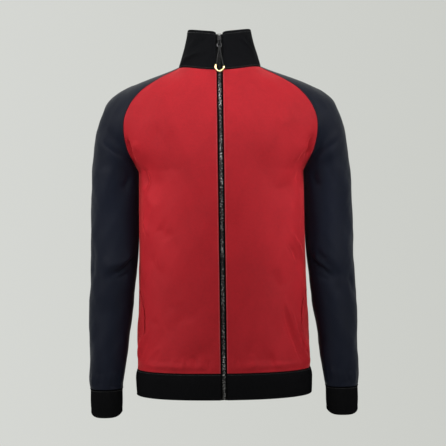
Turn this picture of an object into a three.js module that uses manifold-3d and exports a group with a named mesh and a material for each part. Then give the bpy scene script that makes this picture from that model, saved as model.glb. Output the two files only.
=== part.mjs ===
// A track jacket with raglan sleeves, a stand collar and a full-length front zip, filled out as if worn.
// Millimetres, +Z up. The front faces -Y and +X is the wearer's left.
// The origin is the middle of the neck opening, level with the ends of the shoulder line.
import * as THREE from "three";
import { mergeVertices } from "three/addons/utils/BufferGeometryUtils.js";
import Module from "manifold-3d";

// Cloth and seams
const WALL = 2;
const BAND_WALL = 2.4;
const SEAM_GAP = 0.32;
const HALF_GAP = SEAM_GAP / 2;

// Heights of the main lines
const ARMPIT_Z = -214;
const HEM_SEAM_Z = -614;
const HEM_Z = -666;
const NECK_FRONT_Z = -14.5;
const NECK_BACK_Z = -5;
const CUFF_SEAM_Z = -650;
const CUFF_Z = -706;

// Front closure
const ZIP_HALF = 6.5;
const CHAIN_HALF = 3;
const TAPE_EDGE = 15;
const SLIDER_Z = 47.8;

// Facets: columns across each front, round each sleeve, and rows
const FRONT_COLUMNS = 10;
const SLEEVE_COLUMNS = 20;
const TORSO_ROWS = 14;
const YOKE_ROWS = 10;
const ARM_ROWS = 15;

// Side view and half width of the body: depth in front of and behind the axis at each height
const TORSO = [
  { z: -666, side: 180, front: 115, back: 111 },
  { z: -614, side: 176.5, front: 113, back: 108 },
  { z: -560, side: 175.5, front: 113, back: 103 },
  { z: -480, side: 172.5, front: 112, back: 98 },
  { z: -400, side: 170.2, front: 113, back: 98 },
  { z: -320, side: 169.3, front: 116, back: 104 },
  { z: -260, side: 168.8, front: 118.5, back: 111 },
  { z: -214, side: 168.2, front: 118, back: 114 },
  { z: -150, side: 168.2, front: 112, back: 111 },
  { z: -100, side: 168.2, front: 102, back: 101 },
  { z: -50, side: 168.2, front: 88, back: 83 },
  { z: -14.5, side: 168.2, front: 77, back: 65 },
  { z: -5, side: 168.2, front: 75, back: 62 },
];

// Raglan seams, from the underarm up to the neck
const FRONT_RAGLAN = [
  { x: 168.2, y: 0, z: -214 },
  { x: 175.5, y: -31, z: -197 },
  { x: 186, y: -53, z: -174 },
  { x: 193, y: -67, z: -140 },
  { x: 192.5, y: -70, z: -112 },
  { x: 182.5, y: -66, z: -84 },
  { x: 158, y: -58, z: -52 },
  { x: 121, y: -47.5, z: -26.5 },
  { x: 81, y: -27, z: -4 },
];
const BACK_RAGLAN = [
  { x: 168.2, y: 0, z: -214 },
  { x: 173, y: 33, z: -196 },
  { x: 180, y: 57, z: -172 },
  { x: 183, y: 76, z: -140 },
  { x: 180, y: 84, z: -112 },
  { x: 168, y: 82, z: -84 },
  { x: 143, y: 72, z: -54 },
  { x: 108, y: 56, z: -27 },
  { x: 73, y: 33, z: -3 },
];
// Outline of the shoulder from the front, from the armpit's height up to the neck
const SHOULDER = [
  { x: 264, y: 0, z: -214 },
  { x: 260.5, y: 0, z: -182 },
  { x: 256.5, y: 0, z: -153 },
  { x: 251, y: 0, z: -124 },
  { x: 243, y: 0, z: -98 },
  { x: 230.5, y: 0, z: -72 },
  { x: 211, y: 0, z: -54.6 },
  { x: 187, y: 0, z: -41.2 },
  { x: 150, y: 0, z: -26.2 },
  { x: 110, y: 0, z: -12 },
  { x: 84, y: -2, z: 0 },
];

// Shape of each level's curve across the front and the back: the Bezier handles as shares of the end's x,
// and the heading in degrees at the seam (90 runs straight back). Level 0 is the armpit and 1 the neck.
const FRONT_CURVES = [
  { level: 0, lead: 0.6, land: 0.41, heading: 90 },
  { level: 0.12, lead: 0.53, land: 0.36, heading: 66 },
  { level: 0.3, lead: 0.44, land: 0.31, heading: 38 },
  { level: 0.5, lead: 0.39, land: 0.28, heading: 27 },
  { level: 0.8, lead: 0.39, land: 0.28, heading: 28 },
  { level: 0.93, lead: 0.42, land: 0.32, heading: 40 },
  { level: 1, lead: 0.46, land: 0.43, heading: 70 },
];
const BACK_CURVES = [
  { level: 0, lead: 0.6, land: 0.41, heading: 90 },
  { level: 0.12, lead: 0.54, land: 0.36, heading: 64 },
  { level: 0.3, lead: 0.46, land: 0.31, heading: 36 },
  { level: 0.5, lead: 0.42, land: 0.28, heading: 24 },
  { level: 0.8, lead: 0.4, land: 0.28, heading: 27 },
  { level: 0.93, lead: 0.42, land: 0.32, heading: 42 },
  { level: 1, lead: 0.46, land: 0.4, heading: 66 },
];
// Sleeve above the armpit: handles as shares of the chord, and how far the seam has opened from a crease
const CAP_CURVES = [
  { level: 0, start: 0.875, top: 0.875, open: 0 },
  { level: 0.15, start: 0.66, top: 0.72, open: 0.35 },
  { level: 0.35, start: 0.44, top: 0.52, open: 0.85 },
  { level: 0.5, start: 0.36, top: 0.45, open: 1 },
  { level: 1, start: 0.34, top: 0.38, open: 1 },
];
// Sleeve below the armpit: inner and outer edge from the front, depth of half the ring, and its centre's y
const ARM = [
  { z: -214, inner: 168.2, outer: 264, depth: 63, y: 0 },
  { z: -250, inner: 169.4, outer: 266.3, depth: 62, y: 1 },
  { z: -330, inner: 170.1, outer: 267.9, depth: 58.5, y: 3 },
  { z: -380, inner: 171.9, outer: 269, depth: 56.5, y: 2 },
  { z: -430, inner: 177, outer: 271.1, depth: 54, y: -1 },
  { z: -478, inner: 181.5, outer: 272.2, depth: 51, y: -5 },
  { z: -519, inner: 188, outer: 272.7, depth: 48, y: -10 },
  { z: -560, inner: 193, outer: 272.7, depth: 45, y: -15 },
  { z: -601, inner: 198, outer: 272.7, depth: 41.5, y: -21 },
  { z: -636, inner: 202.5, outer: 272.3, depth: 38.5, y: -26 },
  { z: -650, inner: 205, outer: 270.5, depth: 36.5, y: -28 },
  { z: -706, inner: 206, outer: 270, depth: 34.5, y: -30 },
];

// Collar: the top ring, and how much of the way in it has come at each share of its height
const COLLAR_TOP = { side: 64.6, front: 66, back: 58, frontZ: 64, sideZ: 75.5, backZ: 73 };
const COLLAR_ROWS = [0, 0.3, 0.65, 1];
const COLLAR_HOLLOW = 0.3;
const COLLAR_CORNER = 2.5;
// Hem band: share of its height and how far it stands out beyond the seam
const HEM_BULGE = [
  { down: 0, out: 0 },
  { down: 0.18, out: 3 },
  { down: 0.6, out: 3.6 },
  { down: 1, out: 2.6 },
];
// The band stands out along the normal of an ellipse with half axes in this ratio of squares
const HEM_ELLIPSE = { x: 31000, y: 12500 };
const CUFF_ROWS = [0, 0.2, 0.6, 1];
const CUFF_BULGE = 1.2;
// How much higher the cuff's edge is at its inner and outer side than in front
const CUFF_LIFT = 8;

// Large folds: a line in space near the cloth, its width and how far it stands out (or in, where negative).
// side 0 lies on both halves, 1 on the wearer's left and -1 on the right.
const FOLDS = [
  { on: "front", side: -1, from: [130, -85, -514], to: [170, -35, -584], width: 17, out: 3.4 },
  { on: "front", side: 1, from: [138, -80, -500], to: [170, -35, -600], width: 17, out: 3.4 },
  { on: "front", side: 0, from: [110, -95, -530], to: [158, -52, -606], width: 15, out: -2.2 },
  { on: "front", side: 0, from: [172, -60, -166], to: [152, -66, -222], width: 20, out: -2.6 },
  { on: "front", side: 0, from: [150, -72, -300], to: [156, -62, -262], width: 26, out: 2.6 },
  { on: "front", side: -1, from: [120, -88, -235], to: [60, -112, -265], width: 30, out: -2.2 },
  { on: "front", side: 1, from: [70, -112, -228], to: [128, -90, -250], width: 28, out: -2 },
  { on: "front", side: 0, from: [30, -112, -570], to: [90, -104, -592], width: 18, out: -1.6 },
  { on: "back", side: 0, from: [60, 100, -400], to: [130, 75, -450], width: 22, out: -3 },
  { on: "back", side: 0, from: [70, 104, -330], to: [150, 60, -300], width: 24, out: 3 },
  { on: "back", side: 0, from: [50, 105, -560], to: [90, 98, -480], width: 22, out: -2.4 },
  { on: "back", side: 0, from: [150, 70, -200], to: [112, 92, -262], width: 24, out: -2.8 },
  { on: "sleeve", side: 0, from: [182, -26, -396], to: [228, -54, -446], width: 15, out: -4 },
  { on: "sleeve", side: 0, from: [178, -20, -372], to: [222, -56, -408], width: 17, out: 2.6 },
  { on: "sleeve", side: 0, from: [186, -26, -436], to: [222, -52, -480], width: 16, out: 2.4 },
  { on: "sleeve", side: -1, from: [190, 40, -380], to: [250, 46, -420], width: 18, out: -3 },
  { on: "sleeve", side: 1, from: [190, 40, -400], to: [250, 46, -370], width: 18, out: -3 },
  { on: "sleeve", side: 0, from: [190, -52, -222], to: [216, -58, -290], width: 24, out: -2.6 },
  { on: "sleeve", side: 0, from: [190, 52, -222], to: [216, 58, -290], width: 24, out: -2.6 },
  { on: "sleeve", side: 0, from: [240, -42, -520], to: [246, -48, -610], width: 16, out: 2 },
  { on: "sleeve", side: 0, from: [215, -58, -620], to: [250, -56, -632], width: 10, out: 1.6 },
  { on: "collar", side: 1, from: [48, -60, 60], to: [72, -36, 14], width: 11, out: 2 },
  { on: "collar", side: -1, from: [46, -66, 34], to: [76, -34, 6], width: 11, out: 1.6 },
];

// Pocket openings: the welt's front edge as height and x on the front panel
const POCKET_EDGE = [
  { z: -540, x: 157 },
  { z: -516, x: 156.6 },
  { z: -486, x: 158.6 },
  { z: -469, x: 163 },
  { z: -455, x: 167 },
];
const POCKET_STEPS = 12;
const WELT = { width: 5, thickness: 1, lift: 0.5 };

// Slider, with a bow that stands on its face round a window
const SLIDER = { half: 4.2, length: 13.5, plate: 1.4, bow: 1.6, window: 2.8, crown: 1.2 };
// Zip pull: a flat puller with a slot for the bow and a ring below it, a cord looped through the ring
// and a bent brass tube on the cord
const PULLER = { half: 2.3, bar: 0.6, slot: 1.25, reach: 5.9, drop: 9.9, outer: 5.2, hole: 3.3, thick: 1.4 };
const TUBE = { radius: 8.3, bore: 2.1, drop: 63.3, tilt: -13, opening: 134 };
const CORD_RADIUS = 0.8;
const PULL_LIFT = 3.8;

const v3 = (x, y, z) => new THREE.Vector3(x, y, z);
const mix = (a, b, share) => a + (b - a) * share;
const ease = (share) => {
  const s = Math.min(1, Math.max(0, share));
  return s * s * (3 - 2 * s);
};

// A smooth curve through one column of a table, read against another column.
function column(table, key, name) {
  const xs = table.map((row) => row[key]);
  const ys = table.map((row) => row[name]);
  const secants = xs.slice(1).map((x, i) => (ys[i + 1] - ys[i]) / (x - xs[i]));
  const slopes = xs.map((x, i) => {
    if (i === 0) return secants[0];
    if (i === xs.length - 1) return secants[i - 1];
    const before = x - xs[i - 1];
    const after = xs[i + 1] - x;
    return (secants[i - 1] * after + secants[i] * before) / (before + after);
  });
  return (at) => {
    let i = 0;
    while (i < xs.length - 2 && (at - xs[i + 1]) * Math.sign(xs[1] - xs[0]) > 0) i++;
    const step = xs[i + 1] - xs[i];
    const s = Math.min(1, Math.max(0, (at - xs[i]) / step));
    const h = s * s * (3 - 2 * s);
    const rise = s * (1 - s) * ((1 - s) * slopes[i] - s * slopes[i + 1]) * step;
    return mix(ys[i], ys[i + 1], h) + rise;
  };
}

// A smooth curve in space through a table of points, read by its share of the length.
function spaceCurve(points) {
  let length = 0;
  const table = points.map((p, i) => {
    const last = points[Math.max(0, i - 1)];
    length += Math.hypot(p.x - last.x, p.y - last.y, p.z - last.z);
    return { ...p, length };
  });
  const [x, y, z] = ["x", "y", "z"].map((name) => column(table, "length", name));
  return (share) => v3(x(share * length), y(share * length), z(share * length));
}

function bezier(a, b, c, d, s) {
  const r = 1 - s;
  const weights = [r * r * r, 3 * r * r * s, 3 * r * s * s, s * s * s];
  const sum = v3(0, 0, 0);
  [a, b, c, d].forEach((point, i) => sum.addScaledVector(point, weights[i]));
  return sum;
}

const torsoSide = column(TORSO, "z", "side");
const torsoFront = column(TORSO, "z", "front");
const torsoBack = column(TORSO, "z", "back");
const frontRaglan = spaceCurve(FRONT_RAGLAN);
const backRaglan = spaceCurve(BACK_RAGLAN);
const shoulder = spaceCurve(SHOULDER);

function curveShape(table) {
  const lead = column(table, "level", "lead");
  const land = column(table, "level", "land");
  const heading = column(table, "level", "heading");
  return (level) => ({ lead: lead(level), land: land(level), heading: heading(level) });
}
const frontShape = curveShape(FRONT_CURVES);
const backShape = curveShape(BACK_CURVES);

// Half of the body, front or back: across is 0 at the centre and 1 at the side or raglan seam.
// level is -1 at the hem seam, 0 at the armpit and 1 at the neck.
function bodyHalf(across, level, isFront) {
  const facing = isFront ? -1 : 1;
  const neckZ = isFront ? NECK_FRONT_Z : NECK_BACK_Z;
  const z = level < 0 ? mix(ARMPIT_Z, HEM_SEAM_Z, -level) : mix(ARMPIT_Z, neckZ, level);
  const depth = (isFront ? torsoFront : torsoBack)(z);
  const start = v3(isFront ? ZIP_HALF : 0, facing * depth, z);
  const raglan = isFront ? frontRaglan : backRaglan;
  const end = level < 0 ? v3(torsoSide(z), 0, z) : raglan(level);
  const shape = (isFront ? frontShape : backShape)(Math.max(0, level));
  const angle = THREE.MathUtils.degToRad(shape.heading);
  const heading = v3(Math.cos(angle), -facing * Math.sin(angle), 0);
  const leave = start.clone().add(v3(shape.lead * end.x, 0, 0));
  const arrive = end.clone().addScaledVector(heading, -shape.land * end.x);
  return bezier(start, leave, arrive, end, across);
}
const frontPoint = (across, level) => bodyHalf(across, level, true);
const backPoint = (across, level) => bodyHalf(across, level, false);

const capStart = column(CAP_CURVES, "level", "start");
const capTop = column(CAP_CURVES, "level", "top");
const capOpen = column(CAP_CURVES, "level", "open");

// Outward normal of a surface, from two points close by on each side.
function surfaceNormal(surface, a, b, handed) {
  const step = 0.01;
  const along = surface(a + step, b).sub(surface(a - step, b));
  const up = surface(a, b + step).sub(surface(a, b - step));
  return along.cross(up).normalize().multiplyScalar(handed);
}

// Heading of the sleeve's cloth as it leaves the raglan seam: in the body's plane high up, folded back at the armpit.
function capHeading(level, isFront, top) {
  const body = isFront ? frontPoint : backPoint;
  const raglan = isFront ? frontRaglan : backRaglan;
  const facing = isFront ? -1 : 1;
  const inside = Math.min(0.99, Math.max(0.01, level));
  const normal = surfaceNormal(body, 0.985, inside, 1);
  const chord = top.clone().sub(raglan(level));
  const flat = chord.addScaledVector(normal, -chord.dot(normal)).normalize();
  return v3(0, facing, 0).lerp(flat, capOpen(level)).normalize();
}

// Sleeve above the armpit: round is 0 at the front raglan seam, 0.5 on the shoulder line, 1 at the back seam.
function capPoint(round, level) {
  const isFront = round <= 0.5;
  const facing = isFront ? -1 : 1;
  const seam = (isFront ? frontRaglan : backRaglan)(level);
  const top = shoulder(level);
  const chord = top.distanceTo(seam);
  const leave = seam.clone().addScaledVector(capHeading(level, isFront, top), capStart(level) * chord);
  const arrive = top.clone().add(v3(0, facing * capTop(level) * chord, 0));
  return bezier(seam, leave, arrive, top, isFront ? round * 2 : 2 - round * 2);
}

const armInner = column(ARM, "z", "inner");
const armOuter = column(ARM, "z", "outer");
const armDepth = column(ARM, "z", "depth");
const armY = column(ARM, "z", "y");
const HALF_ELLIPSE = 4 / 3;

// Sleeve and cuff below the armpit, as level rings: round is 0 and 1 on the inner side and 0.5 on the outer.
function armPoint(round, z) {
  const isFront = round <= 0.5;
  const reach = (isFront ? -1 : 1) * HALF_ELLIPSE * armDepth(z);
  const inner = v3(armInner(z), armY(z), z);
  const outer = v3(armOuter(z), armY(z), z);
  const leave = inner.clone().add(v3(0, reach, 0));
  const arrive = outer.clone().add(v3(0, reach, 0));
  return bezier(inner, leave, arrive, outer, isFront ? round * 2 : 2 - round * 2);
}

// The sleeve from the cuff seam (-1) over the armpit (0) to the neck (1).
const armZ = (level) => mix(ARMPIT_Z, CUFF_SEAM_Z, -level);
const sleevePoint = (round, level) => (level < 0 ? armPoint(round, armZ(level)) : capPoint(round, level));

// The shared edge of two pieces at a raglan seam: its point, the outward direction that both walls
// take there, and the way across the seam to the sleeve.
function raglanSeam(level, isFront) {
  const raglan = isFront ? frontRaglan : backRaglan;
  const facing = isFront ? -1 : 1;
  const inside = Math.min(0.985, Math.max(0.02, level));
  const bodyOut = surfaceNormal(isFront ? frontPoint : backPoint, 0.97, inside, isFront ? 1 : -1);
  const sleeveOut = surfaceNormal(capPoint, isFront ? 0.03 : 0.97, inside, 1);
  const crease = 1 - ease(level / 0.3);
  const out = bodyOut.add(sleeveOut).addScaledVector(v3(0, facing * 0.4 * ease(level / 0.1), -1), 2 * crease);
  if (level === 0) out.set(0, 0, -1);
  out.normalize();
  const along = raglan(Math.min(1, level + 0.01)).sub(raglan(Math.max(0, level - 0.01)));
  if (level === 0) along.set(0, facing, 0);
  const across = along.cross(out).normalize();
  across.multiplyScalar(Math.sign(across.x) || 1);
  return { point: raglan(level), out, across };
}

// The shared edge at the neck seam: its point, the outward direction there, and the way up into the collar.
function neckSeam(surface, a, handed) {
  const point = surface(a, 1);
  const clothOut = surfaceNormal(surface, Math.min(0.985, Math.max(0.015, a)), 0.985, handed);
  const outward = v3(point.x, point.y * 1.2, 0).normalize();
  const out = clothOut.add(outward.add(v3(0, 0, 0.2)).normalize()).normalize();
  const step = surface(Math.min(1, a + 0.01), 1).sub(surface(Math.max(0, a - 0.01), 1));
  const up = step.cross(out).normalize();
  up.multiplyScalar(Math.sign(up.z) || 1);
  return { point, out, up };
}

// How far the folds move a point of the cloth along its normal.
function foldOffset(point, on, side) {
  let offset = 0;
  for (const fold of FOLDS) {
    if (fold.on !== on || (fold.side !== 0 && fold.side !== side)) continue;
    const from = v3(...fold.from);
    const line = v3(...fold.to).sub(from);
    const share = point.clone().sub(from).dot(line) / line.lengthSq();
    const nearest = from.addScaledVector(line, Math.min(1, Math.max(0, share)));
    const away = point.distanceTo(nearest) / fold.width;
    offset += fold.out * Math.exp(-away * away);
  }
  return offset;
}

// Grid of outer points with a seam's own direction where a point lies on one.
// A cell is { point, out }: out is filled in from the neighbours where it is missing.
function fillNormals(grid, handed, closed) {
  const rows = grid.length;
  grid.forEach((row, i) => {
    const columns = row.length;
    row.forEach((cell, j) => {
      if (cell.out) return;
      const before = j > 0 ? row[j - 1] : closed(i) ? row[columns - 2] : cell;
      const after = j < columns - 1 ? row[j + 1] : closed(i) ? row[1] : cell;
      const below = grid[Math.max(0, i - 1)][j];
      const above = grid[Math.min(rows - 1, i + 1)][j];
      const along = after.point.clone().sub(before.point);
      const up = above.point.clone().sub(below.point);
      cell.normal = along.cross(up).normalize().multiplyScalar(handed);
    });
  });
  grid.forEach((row) => row.forEach((cell) => (cell.out ??= cell.normal)));
}

// A cloth wall from a grid of outer points: the inner face lies a wall's thickness further in.
// Rows whose first and last points are the same close into a ring.
function wallGeometry(grid, handed, thickness) {
  const positions = [];
  const index = [];
  const add = (point) => positions.push(point.x, point.y, point.z) / 3 - 1;
  const isClosed = grid.map((row) => row[0].point.distanceTo(row[row.length - 1].point) < 0.01);
  const ids = grid.map((row, i) => {
    const cells = row.map((cell) => [
      add(cell.point),
      add(cell.point.clone().addScaledVector(cell.out, -thickness)),
    ]);
    if (isClosed[i]) cells[cells.length - 1] = cells[0];
    return cells;
  });
  const quad = (a, b, c, d) => {
    if (handed > 0) index.push(a, b, c, a, c, d);
    else index.push(a, c, b, a, d, c);
  };
  const last = grid.length - 1;
  const columns = grid[0].length - 1;
  for (let i = 0; i < last; i++) {
    for (let j = 0; j < columns; j++) {
      const [a, b, c, d] = [ids[i][j], ids[i][j + 1], ids[i + 1][j + 1], ids[i + 1][j]];
      quad(a[0], b[0], c[0], d[0]);
      quad(a[1], d[1], c[1], b[1]);
    }
    if (isClosed[i] && isClosed[i + 1]) continue;
    quad(ids[i][0][1], ids[i][0][0], ids[i + 1][0][0], ids[i + 1][0][1]);
    quad(ids[i][columns][0], ids[i][columns][1], ids[i + 1][columns][1], ids[i + 1][columns][0]);
  }
  for (let j = 0; j < columns; j++) {
    quad(ids[0][j][1], ids[0][j + 1][1], ids[0][j + 1][0], ids[0][j][0]);
    quad(ids[last][j][0], ids[last][j + 1][0], ids[last][j + 1][1], ids[last][j][1]);
  }
  const geometry = new THREE.BufferGeometry();
  geometry.setAttribute("position", new THREE.Float32BufferAttribute(positions, 3));
  geometry.setIndex(index);
  return geometry;
}

const range = (count) => Array.from({ length: count + 1 }, (_, i) => i);
const mirrored = (cell) => ({
  point: cell.point.clone().setX(-cell.point.x),
  out: cell.out.clone().setX(-cell.out.x),
});
const mirrorGrid = (grid) => grid.map((row) => row.map(mirrored));

// Moves the inner cells of a grid along their normals by the folds, easing to nothing at its edges.
function addFolds(grid, on, side, closed) {
  const rows = grid.length - 1;
  grid.forEach((row, i) => {
    const columns = row.length - 1;
    row.forEach((cell, j) => {
      if (!cell.normal) return;
      const fromEnds = Math.min(i, rows - i) / 1.5;
      const fromSides = closed(i) ? 1 : Math.min(j, columns - j) / 1.2;
      const hold = ease(fromEnds) * ease(fromSides);
      cell.point.addScaledVector(cell.normal, hold * foldOffset(cell.point, on, side));
    });
    if (closed(i)) row[columns].point.copy(row[0].point);
  });
}

const bodyLevels = [
  ...range(TORSO_ROWS - 1).map((i) => i / TORSO_ROWS - 1),
  ...range(YOKE_ROWS).map((i) => i / YOKE_ROWS),
];
const neverClosed = () => false;

// One front panel, on the wearer's left: columns run from the zip to the side, rows from the hem to the neck.
function frontGrid(side) {
  const grid = bodyLevels.map((level) =>
    range(FRONT_COLUMNS).map((j) => {
      const across = j / FRONT_COLUMNS;
      if (level === 1) {
        const seam = neckSeam(frontPoint, across, 1);
        seam.point.addScaledVector(seam.up, -HALF_GAP);
        if (j === FRONT_COLUMNS) seam.point.addScaledVector(raglanSeam(1, true).across, -HALF_GAP);
        return { point: seam.point, out: seam.out };
      }
      if (j === FRONT_COLUMNS && level >= 0) {
        const seam = raglanSeam(level, true);
        seam.point.addScaledVector(seam.across, -HALF_GAP);
        if (level === 0) seam.point.y -= HALF_GAP;
        return { point: seam.point, out: seam.out };
      }
      const point = frontPoint(across, level);
      if (j === FRONT_COLUMNS) {
        point.y -= HALF_GAP;
        return { point, out: v3(1, 0, 0) };
      }
      if (level === -1) point.z += HALF_GAP;
      return { point };
    }),
  );
  grid[0][FRONT_COLUMNS].point.z += HALF_GAP;
  fillNormals(grid, 1, neverClosed);
  addFolds(grid, "front", side, neverClosed);
  return grid;
}

// The back panel: columns run from the wearer's right to the left.
function backGrid() {
  const half = bodyLevels.map((level) =>
    range(FRONT_COLUMNS).map((j) => {
      const across = j / FRONT_COLUMNS;
      if (level === 1) {
        const seam = neckSeam(backPoint, across, -1);
        seam.point.addScaledVector(seam.up, -HALF_GAP);
        if (j === FRONT_COLUMNS) seam.point.addScaledVector(raglanSeam(1, false).across, -HALF_GAP);
        return { point: seam.point, out: seam.out };
      }
      if (j === FRONT_COLUMNS && level >= 0) {
        const seam = raglanSeam(level, false);
        seam.point.addScaledVector(seam.across, -HALF_GAP);
        if (level === 0) seam.point.y += HALF_GAP;
        return { point: seam.point, out: seam.out };
      }
      const point = backPoint(across, level);
      if (level === -1) point.z += HALF_GAP;
      if (j === FRONT_COLUMNS) {
        point.y += HALF_GAP;
        return { point, out: v3(1, 0, 0) };
      }
      if (j === 0) return { point, out: surfaceNormal(backPoint, 0.01, Math.max(-0.99, level), -1) };
      return { point };
    }),
  );
  fillNormals(half, -1, neverClosed);
  half.forEach((row) => row[0].out.setX(0).normalize());
  const folded = (side) => {
    const grid = half.map((row) => row.map((cell) => ({ ...cell, point: cell.point.clone() })));
    addFolds(grid, "back", side, neverClosed);
    return grid;
  };
  const left = folded(1);
  const right = mirrorGrid(folded(-1));
  return left.map((row, i) => [...right[i].slice(1).reverse(), ...row]);
}

// One sleeve, on the wearer's left: columns run round it, rows from the cuff seam to the neck.
function sleeveGrid(side) {
  const levels = [
    ...range(ARM_ROWS - 1).map((i) => i / ARM_ROWS - 1),
    ...range(YOKE_ROWS).map((i) => i / YOKE_ROWS),
  ];
  const closed = (i) => i <= ARM_ROWS;
  const grid = levels.map((level) =>
    range(SLEEVE_COLUMNS).map((j) => {
      const round = j / SLEEVE_COLUMNS;
      const onSeam = j === 0 || j === SLEEVE_COLUMNS;
      if (level === 1) {
        const seam = neckSeam(capPoint, round, 1);
        seam.point.addScaledVector(seam.up, -HALF_GAP);
        if (onSeam) seam.point.addScaledVector(raglanSeam(1, j === 0).across, HALF_GAP);
        return { point: seam.point, out: seam.out };
      }
      if (onSeam && level >= 0) {
        const seam = raglanSeam(level, j === 0);
        seam.point.addScaledVector(seam.across, HALF_GAP);
        return { point: seam.point, out: seam.out };
      }
      const point = sleevePoint(round, level);
      if (level === -1) point.z += HALF_GAP;
      return { point };
    }),
  );
  fillNormals(grid, 1, closed);
  addFolds(grid, "sleeve", side, closed);
  return grid;
}

// Share of the collar's inward lean at each share of its height.
const collarLean = (height) => height + COLLAR_HOLLOW * height * (1 - height);

// The collar rises from the neck seam's points to its top ring.
function collarGrid() {
  const ringOf = (surface, count, handed, from, to) =>
    range(count)
      .slice(from, to)
      .map((j) => neckSeam(surface, j / count, handed));
  const ring = [
    ...ringOf(frontPoint, FRONT_COLUMNS, 1, 0, FRONT_COLUMNS + 1),
    ...ringOf(capPoint, SLEEVE_COLUMNS, 1, 1, SLEEVE_COLUMNS),
    ...ringOf(backPoint, FRONT_COLUMNS, -1, 0, FRONT_COLUMNS + 1).reverse(),
  ];
  const corners = [FRONT_COLUMNS, FRONT_COLUMNS + SLEEVE_COLUMNS];
  corners.forEach((k, n) => {
    const meeting = neckSeam(capPoint, n, 1);
    Object.assign(ring[k], { up: ring[k].up.add(meeting.up).normalize() });
  });
  const halfGrid = (side) => {
    const grid = COLLAR_ROWS.map((height) =>
      ring.map((seam, k) => {
        const base = seam.point.clone().addScaledVector(seam.up, HALF_GAP);
        const isFront = base.y < 0;
        const angle = Math.atan2(base.x / 84, -base.y / (isFront ? 77 : 62));
        const turn = Math.cos(angle);
        const depth = isFront ? COLLAR_TOP.front : COLLAR_TOP.back;
        const endZ = isFront ? COLLAR_TOP.frontZ : COLLAR_TOP.backZ;
        const top = v3(COLLAR_TOP.side * Math.sin(angle), -depth * turn, mix(COLLAR_TOP.sideZ, endZ, turn * turn));
        if (k === 0) top.set(ZIP_HALF, top.y, top.z - COLLAR_CORNER);
        const lean = collarLean(height);
        const point = v3(mix(base.x, top.x, lean), mix(base.y, top.y, lean), mix(base.z, top.z, height));
        if (k === 0) point.x = ZIP_HALF;
        return height === 0 ? { point, out: seam.out.clone() } : { point };
      }),
    );
    grid.forEach((row) => (row[row.length - 1].point.x = 0));
    fillNormals(grid, 1, neverClosed);
    grid.forEach((row) => row[row.length - 1].out.setX(0).normalize());
    addFolds(grid, "collar", side, neverClosed);
    return grid;
  };
  const left = halfGrid(1);
  const right = mirrorGrid(halfGrid(-1));
  return left.map((row, i) => [...row, ...right[i].slice(0, -1).reverse()]);
}

// The hem band hangs from the bottom points of the fronts and the back.
const hemOut = column(HEM_BULGE, "down", "out");
function hemGrid() {
  const ring = [
    ...range(FRONT_COLUMNS).map((j) => frontPoint(j / FRONT_COLUMNS, -1)),
    ...range(FRONT_COLUMNS - 1).map((j) => backPoint(1 - (j + 1) / FRONT_COLUMNS, -1)),
  ];
  const half = HEM_BULGE.map(({ down }) =>
    ring.map((point, k) => {
      const out = v3(point.x / HEM_ELLIPSE.x, point.y / HEM_ELLIPSE.y, 0).normalize();
      if (k === 0) out.set(0, -1, 0);
      const moved = point.clone().addScaledVector(out, hemOut(down));
      moved.z = mix(HEM_SEAM_Z - HALF_GAP, HEM_Z, down);
      return { point: moved };
    }),
  ).reverse();
  fillNormals(half, 1, neverClosed);
  half.forEach((row) => row[row.length - 1].out.setX(0).normalize());
  const right = mirrorGrid(half);
  return half.map((row, i) => [...row, ...right[i].slice(0, -1).reverse()]);
}

// A cuff hangs from the sleeve's bottom ring.
function cuffGrid() {
  const grid = CUFF_ROWS.map((down) => {
    const z = mix(CUFF_SEAM_Z, CUFF_Z, down);
    return range(SLEEVE_COLUMNS).map((j) => {
      const point = armPoint(j / SLEEVE_COLUMNS, z);
      const centre = v3((armInner(z) + armOuter(z)) / 2, armY(z), z);
      const out = point.clone().sub(centre).normalize();
      point.addScaledVector(out, CUFF_BULGE * Math.sin(Math.PI * Math.min(1, down * 1.25)) - 0.4);
      point.z += CUFF_LIFT * down ** 2 * out.x ** 4;
      if (down === 0) point.z -= HALF_GAP;
      return { point };
    });
  }).reverse();
  fillNormals(grid, 1, () => true);
  grid.forEach((row) => row[SLEEVE_COLUMNS].point.copy(row[0].point));
  return grid;
}

// Rows of the closure from the hem to the collar: the point on the wearer's left edge, the way in
// from the cloth's face, and the next column of the same piece.
function closureRows(hem, front, collar) {
  const rows = [...hem.slice(0, -1), ...front, ...collar.slice(1)];
  return rows.map((row) => {
    const inward = row[0].out.clone().setX(0).normalize().negate();
    const slope = (row[1].point.y - row[0].point.y) / (row[1].point.x - row[0].point.x);
    return { point: row[0].point, inward, slope };
  });
}

// A strip along the closure, between two depths below the cloth's face.
function stripGeometry(rows, xs, face, thickness) {
  const positions = [];
  rows.forEach(({ point, inward, slope }) =>
    [face, face + thickness].forEach((depth) =>
      xs.forEach((x) => {
        const lag = Math.max(0, Math.abs(x) - ZIP_HALF) * slope;
        const place = v3(x, point.y + lag, point.z).addScaledVector(inward, depth);
        positions.push(place.x, place.y, place.z);
      }),
    ),
  );
  const ring = [...xs.keys(), ...[...xs.keys()].reverse().map((k) => k + xs.length)];
  const index = [];
  const perRow = ring.length;
  for (let i = 0; i < rows.length - 1; i++) {
    ring.forEach((a, k) => {
      const b = ring[(k + 1) % perRow];
      const [p, q] = [i * perRow, (i + 1) * perRow];
      index.push(p + a, p + b, q + b, p + a, q + b, q + a);
    });
  }
  const topStart = (rows.length - 1) * perRow;
  for (let k = 0; k < xs.length - 1; k++) {
    const [a, b, c, d] = [k, k + 1, k + 1 + xs.length, k + xs.length];
    index.push(a, c, b, a, d, c);
    index.push(topStart + a, topStart + b, topStart + c, topStart + a, topStart + c, topStart + d);
  }
  const geometry = new THREE.BufferGeometry();
  geometry.setAttribute("position", new THREE.Float32BufferAttribute(positions, 3));
  geometry.setIndex(index);
  return geometry;
}

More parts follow.
